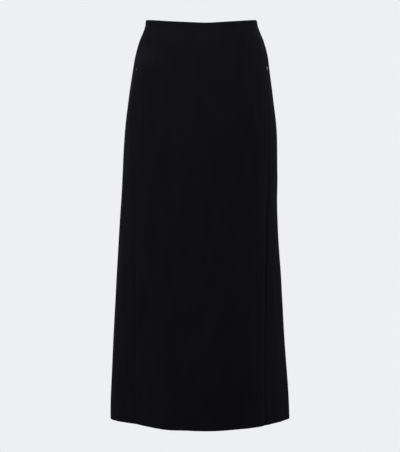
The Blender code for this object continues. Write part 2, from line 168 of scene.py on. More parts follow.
CREASES = (
    # angle, depth, width, length, height, lean
    # Front: the rise over the right hip and what hangs from it
    Crease(-52.0, 0.100, 15.0, 0.026, 0.0050, 120.0),
    Crease(-30.0, 0.160, 8.0, 0.055, 0.0006, 20.0),
    Crease(-41.0, 0.300, 7.0, 0.120, -0.0008, 10.0),
    Crease(-30.0, 0.490, 9.0, 0.060, 0.0009, -12.0),
    Crease(-35.0, 0.745, 8.0, 0.080, 0.0008, 6.0),
    # Front: the middle and the left hip
    Crease(-6.0, 0.230, 6.0, 0.050, 0.0006, 14.0),
    Crease(7.0, 0.370, 8.0, 0.120, -0.0007, -6.0),
    Crease(20.0, 0.140, 8.0, 0.075, -0.0008, 8.0),
    Crease(37.0, 0.170, 7.0, 0.040, 0.0006, -10.0),
    Crease(46.0, 0.070, 12.0, 0.030, 0.0008, -50.0),
    Crease(22.0, 0.430, 6.0, 0.045, 0.0006, 10.0),
    Crease(2.0, 0.640, 7.0, 0.130, -0.0006, 8.0),
    Crease(26.0, 0.700, 8.0, 0.120, -0.0008, -6.0),
    # Sides: drag lines from the lower ends of the pocket mouths
    Crease(-66.0, 0.140, 5.0, 0.018, 0.0007, 160.0),
    Crease(68.0, 0.142, 4.0, 0.020, 0.0006, -140.0),
    # Back: the same kinds over the seat
    Crease(150.0, 0.190, 12.0, 0.050, 0.0012, 20.0),
    Crease(-150.0, 0.200, 12.0, 0.055, 0.0011, -20.0),
    Crease(165.0, 0.330, 7.0, 0.110, -0.0010, -8.0),
    Crease(-166.0, 0.350, 7.0, 0.120, -0.0009, 8.0),
    Crease(126.0, 0.290, 8.0, 0.090, 0.0009, 12.0),
    Crease(-122.0, 0.310, 8.0, 0.090, 0.0010, -12.0),
    Crease(138.0, 0.520, 9.0, 0.110, -0.0009, 6.0),
    Crease(-140.0, 0.560, 9.0, 0.110, -0.0008, -6.0),
    Crease(178.0, 0.600, 8.0, 0.120, 0.0008, 4.0),
)


class Ripple(NamedTuple):
    """An even wave of the cloth: turns round the tube and along it, height and start."""

    around: float
    down: float
    height: float
    phase: float


RIPPLES = (
    # around, down, height, phase
    Ripple(17.0, 2.3, 0.00022, 0.4),
    Ripple(23.0, -3.1, 0.00018, 2.1),
    Ripple(11.0, 4.7, 0.00020, 4.0),
    Ripple(31.0, 5.9, 0.00010, 1.3),
    Ripple(41.0, -7.7, 0.00008, 5.2),
)


class SeamPress(NamedTuple):
    """How far a pressed seam lies below the cloth beside it, at the top and at the hem.

    Spread is the half-width of that hollow, and pinch the extra depth of the sharp groove
    right at the stitches.
    """

    top: float
    hem: float
    start: float
    spread: float
    pinch: float


PRESSES = {
    # top, hem, start, spread, pinch
    Seam.LEFT: SeamPress(0.0005, 0.0020, 0.20, 0.0045, 0.0007),
    Seam.RIGHT: SeamPress(0.0003, 0.0009, 0.42, 0.0060, 0.0001),
    Seam.BACK: SeamPress(0.0006, 0.0012, 0.30, 0.0060, 0.0003),
}


class Gape(NamedTuple):
    """Where the lower end of a pocket mouth stands open, and how far its edges part.

    It is widest at one depth and closes above and below, over a distance each.
    """

    widest: float
    above: float
    below: float
    sink: float
    rise: float


GAPES = {
    Seam.LEFT: Gape(widest=0.1085, above=0.0050, below=0.0135, sink=0.0000, rise=0.0034),
    Seam.RIGHT: Gape(widest=0.1136, above=0.0045, below=0.0045, sink=0.0010, rise=0.0018),
}


def ease(value: np.ndarray) -> np.ndarray:
    """Smooth step from 0 to 1."""
    value = np.clip(value, 0.0, 1.0)
    return value * value * (3.0 - 2.0 * value)


def bell(offset: np.ndarray, spread: float) -> np.ndarray:
    """Rounded hump of height 1."""
    return np.exp(-((offset / spread) ** 2))


def turned(angle: np.ndarray) -> np.ndarray:
    """Angle in degrees as the same direction between -180 and 180."""
    return (angle + 180.0) % 360.0 - 180.0


def unit(vectors: np.ndarray) -> np.ndarray:
    """Vectors at length 1."""
    return vectors / np.maximum(np.linalg.norm(vectors, axis=-1, keepdims=True), 1e-12)


def joined(*parts: np.ndarray) -> np.ndarray:
    """Several runs of numbers as one."""
    return np.concatenate([np.atleast_1d(part) for part in parts])


def walked_along(line: np.ndarray) -> np.ndarray:
    """Distance from a line's start to each of its points."""
    return joined(0.0, np.cumsum(np.linalg.norm(np.diff(line, axis=0), axis=-1)))


def read_along(line: np.ndarray, walked: np.ndarray, places: np.ndarray) -> np.ndarray:
    """Points on a line at some distances, where walked is the distance at its own points."""
    return np.stack([np.interp(places, walked, line[:, axis]) for axis in range(3)], axis=-1)


def facing(grid: np.ndarray) -> np.ndarray:
    """Directions off the face of a grid of points, by row and column."""
    return unit(np.cross(np.gradient(grid, axis=0), np.gradient(grid, axis=1)))


@dataclass(frozen=True)
class SkirtForm:
    """The tube that the cloth hangs in, filled out with nobody in it.

    Attributes:
        ripple_fade: Depth by which the ripples have grown, as the waist holds them flat.
        press_fade: Distance over which a seam's hollow grows.
        pinch_spread: Half-width of the sharp groove right at the stitches.
        pinch_top: Share of its depth that it has above the knee.
        pinch_knee: Depth below which it grows.
        pinch_fade: Distance over which it grows to its whole depth.
        gape_width: How far the parted edges of a pocket mouth reach into the panels.
        pucker: Height of the small uneven ripples that the stitching draws into a seam.
        pucker_reach: How far those ripples reach into the panels.
        pucker_length: Usual length of one.
        pucker_group: Distance over which they come and go.
        band_rise: How far the doubled waist edge stands out.
        band_before: How far above the end of its turn it starts to thin.
        band_fade: Distance over which it does.
        line_sink: Depth of the line below it.
        line_below: How far below the end of the turn that line lies.
        line_spread: Its half-width.
        hem_rise: How far the turned hem stands out.
        hem_fade: Distance over which it gets there.
    """

    ripple_fade: float = 0.06
    press_fade: float = 0.25
    pinch_spread: float = 0.0016
    pinch_top: float = 0.10
    pinch_knee: float = 0.46
    pinch_fade: float = 0.16
    gape_width: float = 0.010
    pucker: float = 0.00018
    pucker_reach: float = 0.011
    pucker_length: float = 0.023
    pucker_group: float = 0.141
    band_rise: float = 0.00030
    band_before: float = 0.0015
    band_fade: float = 0.0020
    line_sink: float = 0.00035
    line_below: float = 0.0006
    line_spread: float = 0.0014
    hem_rise: float = 0.00016
    hem_fade: float = 0.004

    def column(self, name: str, depth: np.ndarray) -> np.ndarray:
        """A column of the section table at any depth, on a smooth curve through its rows.

        Args:
            name: The column.
            depth: Depths below the waist edge.

        Returns:
            The column's values at those depths.
        """
        marks = np.array([row.depth for row in SECTIONS])
        values = np.array([getattr(row, name) for row in SECTIONS])
        before = np.maximum(np.arange(len(marks)) - 1, 0)
        after = np.minimum(np.arange(len(marks)) + 1, len(marks) - 1)
        slopes = (values[after] - values[before]) / (marks[after] - marks[before])
        low = np.clip(np.searchsorted(marks, depth, "right") - 1, 0, len(marks) - 2)
        span = marks[low + 1] - marks[low]
        t = (depth - marks[low]) / span
        rise = values[low + 1] - values[low]
        bend_low = slopes[low] * span - rise
        bend_high = rise - slopes[low + 1] * span
        return values[low] + t * rise + t * (1 - t) * ((1 - t) * bend_low + t * bend_high)

    def seam_angle(self, seam: Seam, depth: np.ndarray) -> np.ndarray:
        """Where a seam runs.

        Args:
            seam: The seam.
            depth: Depths below the waist edge.

        Returns:
            Its angle round the tube at those depths.
        """
        if seam is Seam.LEFT:
            return 90.0 - self.column("left_seam", depth)
        if seam is Seam.RIGHT:
            return self.column("right_seam", depth) - 90.0
        return np.full_like(depth, 180.0)

    def point(self, angle: np.ndarray, depth: np.ndarray) -> np.ndarray:
        """Points on the outside of the cloth, with its folds but without seams and creases.

        Args:
            angle: Angles round the tube.
            depth: Depths below the waist edge.

        Returns:
            The points.
        """
        across = np.sin(np.radians(angle))
        along = np.cos(np.radians(angle))
        half_width = self.column("half_width", depth)
        reach = np.where(along > 0, self.column("front", depth), self.column("back", depth))
        lens = 1.0 - self.column("pinch", depth) * across * across
        dip = np.where(along > 0, FRONT_DIP, BACK_DIP) * along * along
        dip = dip + MIDDLE_DIP * bell(turned(angle - MIDDLE_ANGLE), MIDDLE_SPREAD)
        height = -depth - dip * (1.0 - ease(depth / DIP_FADE))
        base = np.stack([self.column("shift", depth) + half_width * across,
                         -reach * along * lens, height], axis=-1)
        outward = unit(np.stack([reach * across, -half_width * along,
                                 np.zeros_like(reach)], axis=-1))
        lift = np.zeros_like(reach)
        for fold in FOLDS:
            grown = ease((depth - fold.start) / (LENGTH - fold.start))
            lift += fold.height * bell(turned(angle - fold.angle), fold.spread) * grown
        return base + outward * lift[..., None]

    def normal(self, angle: np.ndarray, depth: np.ndarray) -> np.ndarray:
        """Outward directions of the tube.

        Args:
            angle: Angles round the tube.
            depth: Depths below the waist edge.

        Returns:
            Unit vectors.
        """
        step_angle = 0.5
        step_depth = 0.002
        around = self.point(angle + step_angle, depth) - self.point(angle - step_angle, depth)
        up = self.point(angle, depth - step_depth) - self.point(angle, depth + step_depth)
        return unit(np.cross(around, up))

    def speed(self, angle: np.ndarray, depth: np.ndarray) -> np.ndarray:
        """Metres of cloth in each degree round the tube."""
        step = self.point(angle + 0.5, depth) - self.point(angle - 0.5, depth)
        return np.linalg.norm(step, axis=-1)

    def seam_distance(self, seam: Seam, angle: np.ndarray, depth: np.ndarray) -> np.ndarray:
        """Distance of points on the cloth from a seam."""
        place = self.seam_angle(seam, depth)
        return np.abs(turned(angle - place)) * self.speed(place, depth)

    def creases(self, angle: np.ndarray, depth: np.ndarray) -> np.ndarray:
        """How far the creases and ripples lift the cloth.

        Args:
            angle: Angles round the tube.
            depth: Depths below the waist edge.

        Returns:
            Heights above the tube.
        """
        lift = np.zeros(np.broadcast(angle, depth).shape)
        for crease in CREASES:
            down = depth - crease.depth
            away = turned(angle - crease.angle - crease.lean * down)
            lift += crease.height * bell(away, crease.width) * bell(down, crease.length)
        held = ease(depth / self.ripple_fade)
        for ripple in RIPPLES:
            wave = np.sin(np.radians(angle) * ripple.around
                          + depth * 2 * math.pi * ripple.down + ripple.phase)
            lift += ripple.height * wave * held
        return lift

    def seam_lift(self, seam: Seam, away: np.ndarray, depth: np.ndarray,
                  front: bool) -> np.ndarray:
        """How a seam shapes the cloth beside it.

        Args:
            seam: The seam.
            away: Distances from it.
            depth: Depths below the waist edge.
            front: Whether the cloth is the front panel's.

        Returns:
            Heights above the tube.
        """
        press = PRESSES[seam]
        grown = ease((depth - press.start) / self.press_fade)
        lift = -(press.top + (press.hem - press.top) * grown) * bell(away, press.spread)
        grown = ease((depth - self.pinch_knee) / self.pinch_fade)
        pinch = press.pinch * (self.pinch_top + (1.0 - self.pinch_top) * grown)
        lift -= pinch * bell(away, self.pinch_spread)
        # the inner wave spaces the puckers unevenly, and the two panels have their own
        uneven = np.sin(depth * 61.0) * 1.7
        own = 0.8 + (0.9 if front else 0.0)
        draw = (np.sin(depth * 2 * math.pi / self.pucker_length + uneven)
                * np.sin(depth * 2 * math.pi / self.pucker_group + own))
        lift += self.pucker * draw * bell(away, self.pucker_reach)
        if seam in GAPES:
            gape = GAPES[seam]
            down = depth - gape.widest
            share = ease(1.0 - np.abs(down) / np.where(down > 0, gape.below, gape.above))
            reach = -gape.sink if front else gape.rise
            lift += reach * share * bell(away, self.gape_width)
        return lift

    def turn_lift(self, depth: np.ndarray) -> np.ndarray:
        """How the turned waist edge and hem show on the outside.

        Args:
            depth: Depths below the waist edge.

        Returns:
            Heights above the tube.
        """
        past_turn = depth - WAIST_TURN
        band = self.band_rise * (1.0 - ease((past_turn + self.band_before) / self.band_fade))
        line = self.line_sink * bell(past_turn - self.line_below, self.line_spread)
        hem = self.hem_rise * ease((depth - (LENGTH - HEM_TURN)) / self.hem_fade)
        return band - line + hem

    def outer_lift(self, angle: np.ndarray, depth: np.ndarray, seams: tuple[Seam, ...],
                   front: bool) -> np.ndarray:
        """Height of a panel's outside above the tube.

        Args:
            angle: Angles round the tube.
            depth: Depths below the waist edge.
            seams: The seams that shape it.
            front: Whether the panel is the front.

        Returns:
            Heights, positive outwards.
        """
        lift = self.creases(angle, depth) + self.turn_lift(depth)
        for seam in seams:
            away = self.seam_distance(seam, angle, depth)
            lift += self.seam_lift(seam, away, depth, front)
        return lift

    def surface(self, angle: np.ndarray, depth: np.ndarray, height: np.ndarray) -> np.ndarray:
        """Points at a height above the tube, which is positive outwards."""
        return self.point(angle, depth) + self.normal(angle, depth) * height[..., None]


FORM = SkirtForm()


def srgb(code: str, alpha: float = 1.0) -> tuple[float, float, float, float]:
    """A colour's linear values.

    Args:
        code: The colour as #RRGGBB.
        alpha: Opacity.

    Returns:
        Red, green, blue and alpha for a shader's socket.
    """
    values = []
    for place in (1, 3, 5):
        value = int(code[place:place + 2], 16) / 255.0
        values.append(value / 12.92 if value <= 0.04045 else ((value + 0.055) / 1.055) ** 2.4)
    return (values[0], values[1], values[2], alpha)


def add_node(tree: bpy.types.NodeTree, kind: str, values: dict | None = None,
             links: dict | None = None, **settings: object) -> bpy.types.Node:
    """Adds a node with its settings, values and links.

    Args:
        tree: The node tree.
        kind: The type of node.
        values: Constants, by the name or number of the input that they set.
        links: Output sockets, by the name or number of the input that they go to.
        settings: The node's own options.

    Returns:
        The new node.
    """
    node = tree.nodes.new(kind)
    for name, setting in settings.items():
        setattr(node, name, setting)
    for key, value in (values or {}).items():
        node.inputs[key].default_value = value
    for key, socket in (links or {}).items():
        tree.links.new(socket, node.inputs[key])
    return node


def new_material(name: str, constants: dict) -> bpy.types.Material:
    """A material whose Principled shader has its constant values set.

    Args:
        name: The finish's name.
        constants: Values by the name of the shader's socket.

    Returns:
        The material.
    """
    material = bpy.data.materials.new(name)
    material.use_nodes = True
    for key, value in constants.items():
        material.node_tree.nodes[SHADER].inputs[key].default_value = value
    return material


def per_mm(spacing: float) -> float:
    """Scale of a noise texture in metres whose pattern repeats at a spacing in millimetres."""
    return 1000.0 / spacing


def bands_mm(spacing: float) -> float:
    """Scale of a wave texture in metres whose bands lie at a spacing in millimetres."""
    return 2 * math.pi * 1000.0 / (WAVE_RADIANS * spacing)


class Pattern(NamedTuple):
    """What drives a finish: its tone from 0 to 1, its grain's height and its roughness."""

    tone: bpy.types.NodeSocket
    height: bpy.types.NodeSocket | None = None
    roughness: bpy.types.NodeSocket | None = None


@dataclass(frozen=True)
class Finish:
    """A finish that runs between two shades with its pattern, and may be raised by it.

    Attributes:
        name: The real material, and how it was made.
        slot: The record's slot for it. Not used.
        shade: Its colour where the tone is low.
        pale_shade: Its colour where the tone is high.
        roughness: How far its shine is scattered.
        specular: How strong that shine is.
        specular_tint: The shine's colour.
        ior: Index of refraction.
        sheen: How strongly fibre ends glow where the surface turns away.
        sheen_roughness: How far round that glow reaches.
        sheen_tint: The glow's colour.
        grain: Height of the grain in metres, where the pattern has one.
        grain_share: How much of the grain's slope is drawn.
    """

    name: str
    slot: str
    shade: str
    pale_shade: str
    roughness: float = 0.5
    specular: float = 0.5
    specular_tint: str = "#FFFFFF"
    ior: float = 1.5
    sheen: float = 0.0
    sheen_roughness: float = 0.5
    sheen_tint: str = "#FFFFFF"
    grain: float = 0.0
    grain_share: float = 0.0

    def pattern(self, tree: bpy.types.NodeTree) -> Pattern:
        """Adds the nodes of the pattern; each finish has its own."""
        raise NotImplementedError

    def material(self) -> bpy.types.Material:
        """Builds the finish.

        Returns:
            The material.
        """
        material = new_material(self.name, {
            "Roughness": self.roughness, "IOR": self.ior,
            "Specular IOR Level": self.specular, "Specular Tint": srgb(self.specular_tint),
            "Sheen Weight": self.sheen, "Sheen Roughness": self.sheen_roughness,
            "Sheen Tint": srgb(self.sheen_tint)})
        tree = material.node_tree
        shader = tree.nodes[SHADER]
        pattern = self.pattern(tree)
        colour = add_node(tree, "ShaderNodeMix",
                          {6: srgb(self.shade), 7: srgb(self.pale_shade)},
                          {0: pattern.tone}, data_type="RGBA")
        tree.links.new(colour.outputs[2], shader.inputs["Base Color"])
        if pattern.roughness is not None:
            tree.links.new(pattern.roughness, shader.inputs["Roughness"])
        if pattern.height is not None:
            bump = add_node(tree, "ShaderNodeBump",
                            {"Strength": self.grain_share, "Distance": self.grain},
                            {"Height": pattern.height})
            tree.links.new(bump.outputs[0], shader.inputs["Normal"])
        return material


@dataclass(frozen=True)
class WoolCrepe(Finish):
    """Black wool crepe: hard-twisted yarns in a plain weave, scoured and pressed.

    The twist makes the yarns kink, so the face is a dry, matt pebble with no weave to see
    from a step away. The fibre ends give a soft violet-grey bloom where it turns away.

    Attributes:
        yarn_mm: Spacing of the yarns.
        pebble_mm: Size of the pebble.
        streak_mm: Size of the uneven black, across the warp and along it.
        painted_highlight_place: Middle of the painted highlight, a paler patch on the right hip.
        painted_highlight_reach: How far that painted highlight reaches from there, along each
            axis.
        painted_highlight_share: How much paler the middle of the painted highlight is.
    """

    name: str = "black_wool_crepe"
    slot: str = "black_crepe"
    shade: str = "#0F0E12"
    pale_shade: str = "#1A191E"
    roughness: float = 0.78
    specular: float = 0.12
    specular_tint: str = "#8C86A8"
    sheen: float = 0.08
    sheen_roughness: float = 0.45
    sheen_tint: str = "#7E76AE"
    grain: float = 0.00030
    grain_share: float = 0.6
    yarn_mm: float = 0.9      # drawn coarser than the real 0.4 mm, which would not show
    pebble_mm: float = 1.7    # drawn coarser than the real 0.8 mm for the same reason
    streak_mm: tuple[float, float] = (26.0, 90.0)
    painted_highlight_place: tuple[float, float, float] = (-0.128, -0.052, -0.085)
    painted_highlight_reach: tuple[float, float, float] = (0.062, 0.062, 0.036)
    painted_highlight_share: float = 0.65

    def pattern(self, tree: bpy.types.NodeTree) -> Pattern:
        """Adds the crepe's weave and pebble, its uneven black and a painted highlight on the
        right hip.

        Args:
            tree: The material's nodes.

        Returns:
            The tone and the grain.
        """
        place = add_node(tree, "ShaderNodeUVMap", uv_map=CLOTH_MAP).outputs["UV"]
        pebble = add_node(tree, "ShaderNodeTexNoise",
                          {"Scale": per_mm(self.pebble_mm), "Detail": 2.0, "Roughness": 0.6},
                          {"Vector": place})
        warp, weft = (
            add_node(tree, "ShaderNodeTexWave",
                     {"Scale": bands_mm(self.yarn_mm), "Distortion": 1.6,
                      "Detail": 1.0, "Detail Scale": 2.0},
                     {"Vector": place}, bands_direction=direction)
            for direction in ("X", "Y"))
        weave = add_node(tree, "ShaderNodeMath", None,
                         {0: warp.outputs["Fac"], 1: weft.outputs["Fac"]},
                         operation="MAXIMUM")
        # the higher of the two yarns shows, with the pebble on top of it
        grain = add_node(tree, "ShaderNodeMath", {1: 0.45},
                         {0: weave.outputs[0], 2: pebble.outputs["Fac"]},
                         operation="MULTIPLY_ADD")
        across, along = (per_mm(size) for size in self.streak_mm)
        drawn = add_node(tree, "ShaderNodeMapping", {"Scale": (across, along, 1.0)},
                         {"Vector": place})
        cloud = add_node(tree, "ShaderNodeTexNoise",
                         {"Scale": 1.0, "Detail": 3.0, "Roughness": 0.55},
                         {"Vector": drawn.outputs[0]})
        # its tone is the sum of slow changes, the pebble and a painted highlight on the right hip
        fine = add_node(tree, "ShaderNodeMath", {1: 0.6}, {0: pebble.outputs["Fac"]},
                        operation="MULTIPLY")
        tone = add_node(tree, "ShaderNodeMath", {1: 0.6},
                        {0: cloud.outputs["Fac"], 2: fine.outputs[0]},
                        operation="MULTIPLY_ADD")
        # painted highlight: a round patch on the right hip is made paler, in place of pressed
        # cloth's shine
        highlight_space = add_node(
            tree, "ShaderNodeMapping",
            {"Location": tuple(-at / reach for at, reach
                               in zip(self.painted_highlight_place, self.painted_highlight_reach)),
             "Scale": tuple(1.0 / reach for reach in self.painted_highlight_reach)},
            {"Vector": add_node(tree, "ShaderNodeTexCoord").outputs["Object"]})
        highlight_patch = add_node(tree, "ShaderNodeTexGradient", None,
                          {"Vector": highlight_space.outputs[0]}, gradient_type="SPHERICAL")
        highlighted_tone = add_node(tree, "ShaderNodeMath", {1: self.painted_highlight_share},
                         {0: highlight_patch.outputs["Fac"], 2: tone.outputs[0]},
                         operation="MULTIPLY_ADD")
        ramp = add_node(tree, "ShaderNodeMapRange", {"From Min": 0.1, "From Max": 1.1},
                        {"Value": highlighted_tone.outputs[0]})
        return Pattern(ramp.outputs[0], grain.outputs[0])


@dataclass(frozen=True)
class Pocketing(Finish):
    """Undyed cotton pocketing: a close twill, calendered.

    It is flat and slightly chalky, with a fine diagonal that shows only close to.

    Attributes:
        twill_mm: Spacing of the diagonal lines.
        slub_mm: Length of the thick and thin places of the yarn.
    """

    name: str = "undyed_cotton_pocketing"
    slot: str = "pale_pocketing"
    shade: str = "#989590"
    pale_shade: str = "#ABA8A3"
    roughness: float = 0.85
    specular: float = 0.2
    sheen: float = 0.1
    grain: float = 0.00012
    grain_share: float = 0.4
    twill_mm: float = 1.2     # drawn coarser than the real 0.5 mm, which would not show
    slub_mm: float = 9.0

    def pattern(self, tree: bpy.types.NodeTree) -> Pattern:
        """Adds the twill and the slubs.

        Args:
            tree: The material's nodes.

        Returns:
            The tone and the grain.
        """
        place = add_node(tree, "ShaderNodeUVMap", uv_map=CLOTH_MAP).outputs["UV"]
        twill = add_node(tree, "ShaderNodeTexWave",
                         {"Scale": bands_mm(self.twill_mm), "Distortion": 0.6},
                         {"Vector": place}, bands_direction="DIAGONAL")
        slub = add_node(tree, "ShaderNodeTexNoise",
                        {"Scale": per_mm(self.slub_mm), "Detail": 4.0, "Roughness": 0.6},
                        {"Vector": place})
        tone = add_node(tree, "ShaderNodeMath", {1: 0.4},
                        {0: twill.outputs["Fac"], 2: slub.outputs["Fac"]},
                        operation="MULTIPLY_ADD")
        return Pattern(tone.outputs[0], twill.outputs["Fac"])


@dataclass(frozen=True)
class ZipTape(Finish):
    """Black polyester zip tape: narrow-woven with ribs along its length.

    Filament yarns make it a little shinier than the crepe.

    Attributes:
        rib_mm: Spacing of the ribs.
    """

    name: str = "woven_polyester_tape"
    slot: str = "black_zip_tape"
    shade: str = "#141416"
    pale_shade: str = "#1E1E22"
    roughness: float = 0.6
    specular: float = 0.3
    grain: float = 0.0002
    grain_share: float = 0.6
    rib_mm: float = 0.8

    def pattern(self, tree: bpy.types.NodeTree) -> Pattern:
        """Adds the ribs.

        Args:
            tree: The material's nodes.

        Returns:
            The tone and the grain.
        """
        place = add_node(tree, "ShaderNodeUVMap", uv_map=CLOTH_MAP).outputs["UV"]
        rib = add_node(tree, "ShaderNodeTexWave",
                       {"Scale": bands_mm(self.rib_mm), "Distortion": 0.4},
                       {"Vector": place}, bands_direction="X")
        return Pattern(rib.outputs["Fac"], rib.outputs["Fac"])


@dataclass(frozen=True)
class EnamelledZinc(Finish):
    """Die-cast zinc under baked black enamel.

    The enamel flows smooth over the casting with a faint orange-peel, and is a touch duller
    where fingers polish it.

    Attributes:
        handled_mm: Size of the places that fingers have dulled.
        peel_mm: Size of the orange-peel.
        gloss: Roughness where it is untouched, and where it is handled.
    """

    name: str = "enamelled_zinc"
    slot: str = "black_enamelled_zinc"
    shade: str = "#0E0E11"
    pale_shade: str = "#17171A"
    specular: float = 0.4
    grain: float = 0.00005
    grain_share: float = 0.15
    handled_mm: float = 4.0
    peel_mm: float = 0.7
    gloss: tuple[float, float] = (0.28, 0.42)

    def pattern(self, tree: bpy.types.NodeTree) -> Pattern:
        """Adds the handled places, which also vary the gloss, and the orange-peel.

        Args:
            tree: The material's nodes.

        Returns:
            The tone, the grain and the roughness.
        """
        place = add_node(tree, "ShaderNodeTexCoord").outputs["Object"]
        handled = add_node(tree, "ShaderNodeTexNoise",
                           {"Scale": per_mm(self.handled_mm), "Detail": 3.0},
                           {"Vector": place})
        dull = add_node(tree, "ShaderNodeMapRange",
                        {"From Min": 0.3, "From Max": 0.7,
                         "To Min": self.gloss[0], "To Max": self.gloss[1]},
                        {"Value": handled.outputs["Fac"]})
        peel = add_node(tree, "ShaderNodeTexNoise", {"Scale": per_mm(self.peel_mm)},
                        {"Vector": place})
        return Pattern(handled.outputs["Fac"], peel.outputs["Fac"], dull.outputs[0])


@dataclass(frozen=True)
class SpunThread(Finish):
    """Spun polyester sewing thread, three plies twisted together.

    The plies give a fine slanting stripe of light along each stitch.

    Attributes:
        ply_mm: Length of a ply's turn.
    """

    name: str = "black_spun_thread"
    slot: str = "black_crepe"
    shade: str = "#0F0E13"
    pale_shade: str = "#1D1C23"
    roughness: float = 0.75
    specular: float = 0.15
    ply_mm: float = 0.8

    def pattern(self, tree: bpy.types.NodeTree) -> Pattern:
        """Adds the plies.

        Args:
            tree: The material's nodes.

        Returns:
            The tone.
        """
        place = add_node(tree, "ShaderNodeTexCoord").outputs["Object"]
        ply = add_node(tree, "ShaderNodeTexWave",
                       {"Scale": bands_mm(self.ply_mm), "Distortion": 1.0},
                       {"Vector": place}, bands_direction="DIAGONAL")
        return Pattern(ply.outputs["Fac"])


@dataclass(frozen=True)
class NylonCoil(Finish):
    """Black nylon monofilament, coiled and heat-set: smooth, with a satin shine.

    Attributes:
        drawn_mm: Length of the faint changes of tone along the drawn filament.
    """

    name: str = "nylon_monofilament"
    slot: str = "black_zip_tape"
    shade: str = "#121214"
    pale_shade: str = "#1A1A1D"
    roughness: float = 0.35
    ior: float = 1.53
    drawn_mm: float = 3.0

    def pattern(self, tree: bpy.types.NodeTree) -> Pattern:
        """Adds the changes of tone.

        Args:
            tree: The material's nodes.

        Returns:
            The tone.
        """
        place = add_node(tree, "ShaderNodeTexCoord").outputs["Object"]
        drawn = add_node(tree, "ShaderNodeTexNoise", {"Scale": per_mm(self.drawn_mm)},
                         {"Vector": place})
        return Pattern(drawn.outputs["Fac"])


class Wardrobe:
    """Every finish of the skirt, built once: its cloths, threads, zip and metal."""

    def __init__(self) -> None:
        """Builds the materials."""
        self.crepe = WoolCrepe().material()
        self.pocketing = Pocketing().material()
        self.tape = ZipTape().material()
        self.enamel = EnamelledZinc().material()
        self.thread = SpunThread().material()
        self.pale_thread = SpunThread(name="undyed_spun_thread", slot="pale_pocketing",
                                      shade="#98958F", pale_shade="#B4B1AB").material()
        self.coil = NylonCoil().material()


def mesh_object(name: str, points: np.ndarray, faces: np.ndarray, uv: np.ndarray | None,
                material: bpy.types.Material, sharp: float = 50.0) -> bpy.types.Object:
    """A smooth-shaded mesh in the scene.

    Args:
        name: The piece's name.
        points: Vertices, one a row.
        faces: Four vertex numbers a row.
        uv: A place on the cloth for each vertex, or None.
        material: Its finish.
        sharp: Edges that bend by more than this many degrees stay sharp.

    Returns:
        The object.
    """
    mesh = bpy.data.meshes.new(name)
    mesh.from_pydata(points.tolist(), [], faces.tolist())
    if uv is not None:
        layer = mesh.uv_layers.new(name=CLOTH_MAP)
        corners = np.empty(len(mesh.loops), dtype=np.int32)
        mesh.loops.foreach_get("vertex_index", corners)
        layer.uv.foreach_set("vector", uv[corners].astype(np.float32).ravel())
    mesh.materials.append(material)
    mesh.shade_smooth()
    mesh.set_sharp_from_angle(angle=math.radians(sharp))
    item = bpy.data.objects.new(name, mesh)
    bpy.context.collection.objects.link(item)
    return item


def grid_faces(rows: int, columns: int, start: int = 0) -> np.ndarray:
    """Faces of a grid of vertices.

    Args:
        rows: How many rows it has.
        columns: How many columns it has.
        start: Number of its first vertex.

    Returns:
        Four vertex numbers for each face.
    """
    index = np.arange(rows * columns).reshape(rows, columns) + start
    return np.stack([index[:-1, :-1], index[1:, :-1], index[1:, 1:], index[:-1, 1:]],
                    axis=-1).reshape(-1, 4)


def shell_object(name: str, middle: np.ndarray, thickness: float,
                 material: bpy.types.Material) -> bpy.types.Object:
    """A thin closed shell of cloth round a grid of points.

    Args:
        name: The piece's name.
        middle: Points in the middle of the cloth, by row and column.
        thickness: The cloth's thickness.
        material: Its finish.

    Returns:
        The object.
    """
    rows, columns = middle.shape[:2]
    normal = facing(middle)
    outer = middle + normal * thickness / 2
    inner = middle - normal * thickness / 2
    count = rows * columns
    faces = [grid_faces(rows, columns), grid_faces(rows, columns, count)[:, ::-1]]
    index = np.arange(count).reshape(rows, columns)
    rim = joined(index[0], index[1:, -1], index[-1, -2::-1], index[-2:0:-1, 0])
    following = np.roll(rim, -1)
    faces.append(np.stack([rim, following, following + count, rim + count], axis=-1))
    across = np.array([walked_along(row) for row in middle])
    across -= across[:, columns // 2:columns // 2 + 1]
    down = walked_along(middle[:, columns // 2])[:, None]
    uv = np.stack([across, np.broadcast_to(-down, across.shape)], axis=-1).reshape(-1, 2)
    points = np.concatenate([outer.reshape(-1, 3), inner.reshape(-1, 3)])
    return mesh_object(name, points, np.concatenate(faces), np.concatenate([uv, uv]), material)


def tube_object(name: str, paths: list[np.ndarray], radius: float, sides: int,
                material: bpy.types.Material) -> bpy.types.Object:
    """Round threads or wires along paths, as one piece.

    Args:
        name: The piece's name.
        paths: Each thread's points in order.
        radius: The thread's radius.
        sides: How many sides it has.
        material: Its finish.

    Returns:
        The object.
    """
    points = []
    faces = []
    start = 0
    no_thread = np.array([0.31, 0.17, 0.93])   # a direction in which no thread runs
    turns = np.arange(sides) * 2 * math.pi / sides
    for path in paths:
        along = unit(np.gradient(path, axis=0))
        side = unit(np.cross(along, no_thread))
        other = np.cross(along, side)
        ring = (side[:, None] * np.cos(turns)[None, :, None]
                + other[:, None] * np.sin(turns)[None, :, None])
        tube = path[:, None] + ring * radius
        points.append(tube.reshape(-1, 3))
        count = len(path)
        index = np.arange(count * sides).reshape(count, sides) + start
        beside = np.roll(index, -1, axis=1)
        faces.append(np.stack([index[:-1], beside[:-1], beside[1:], index[1:]],
                              axis=-1).reshape(-1, 4))
        start += count * sides
    return mesh_object(name, np.concatenate(points), np.concatenate(faces), None, material,
                       sharp=80.0)


class RawEdge(NamedTuple):
    """A raw edge: its points, and directions into the cloth and off its face."""

    line: np.ndarray
    inward: np.ndarray
    face: np.ndarray


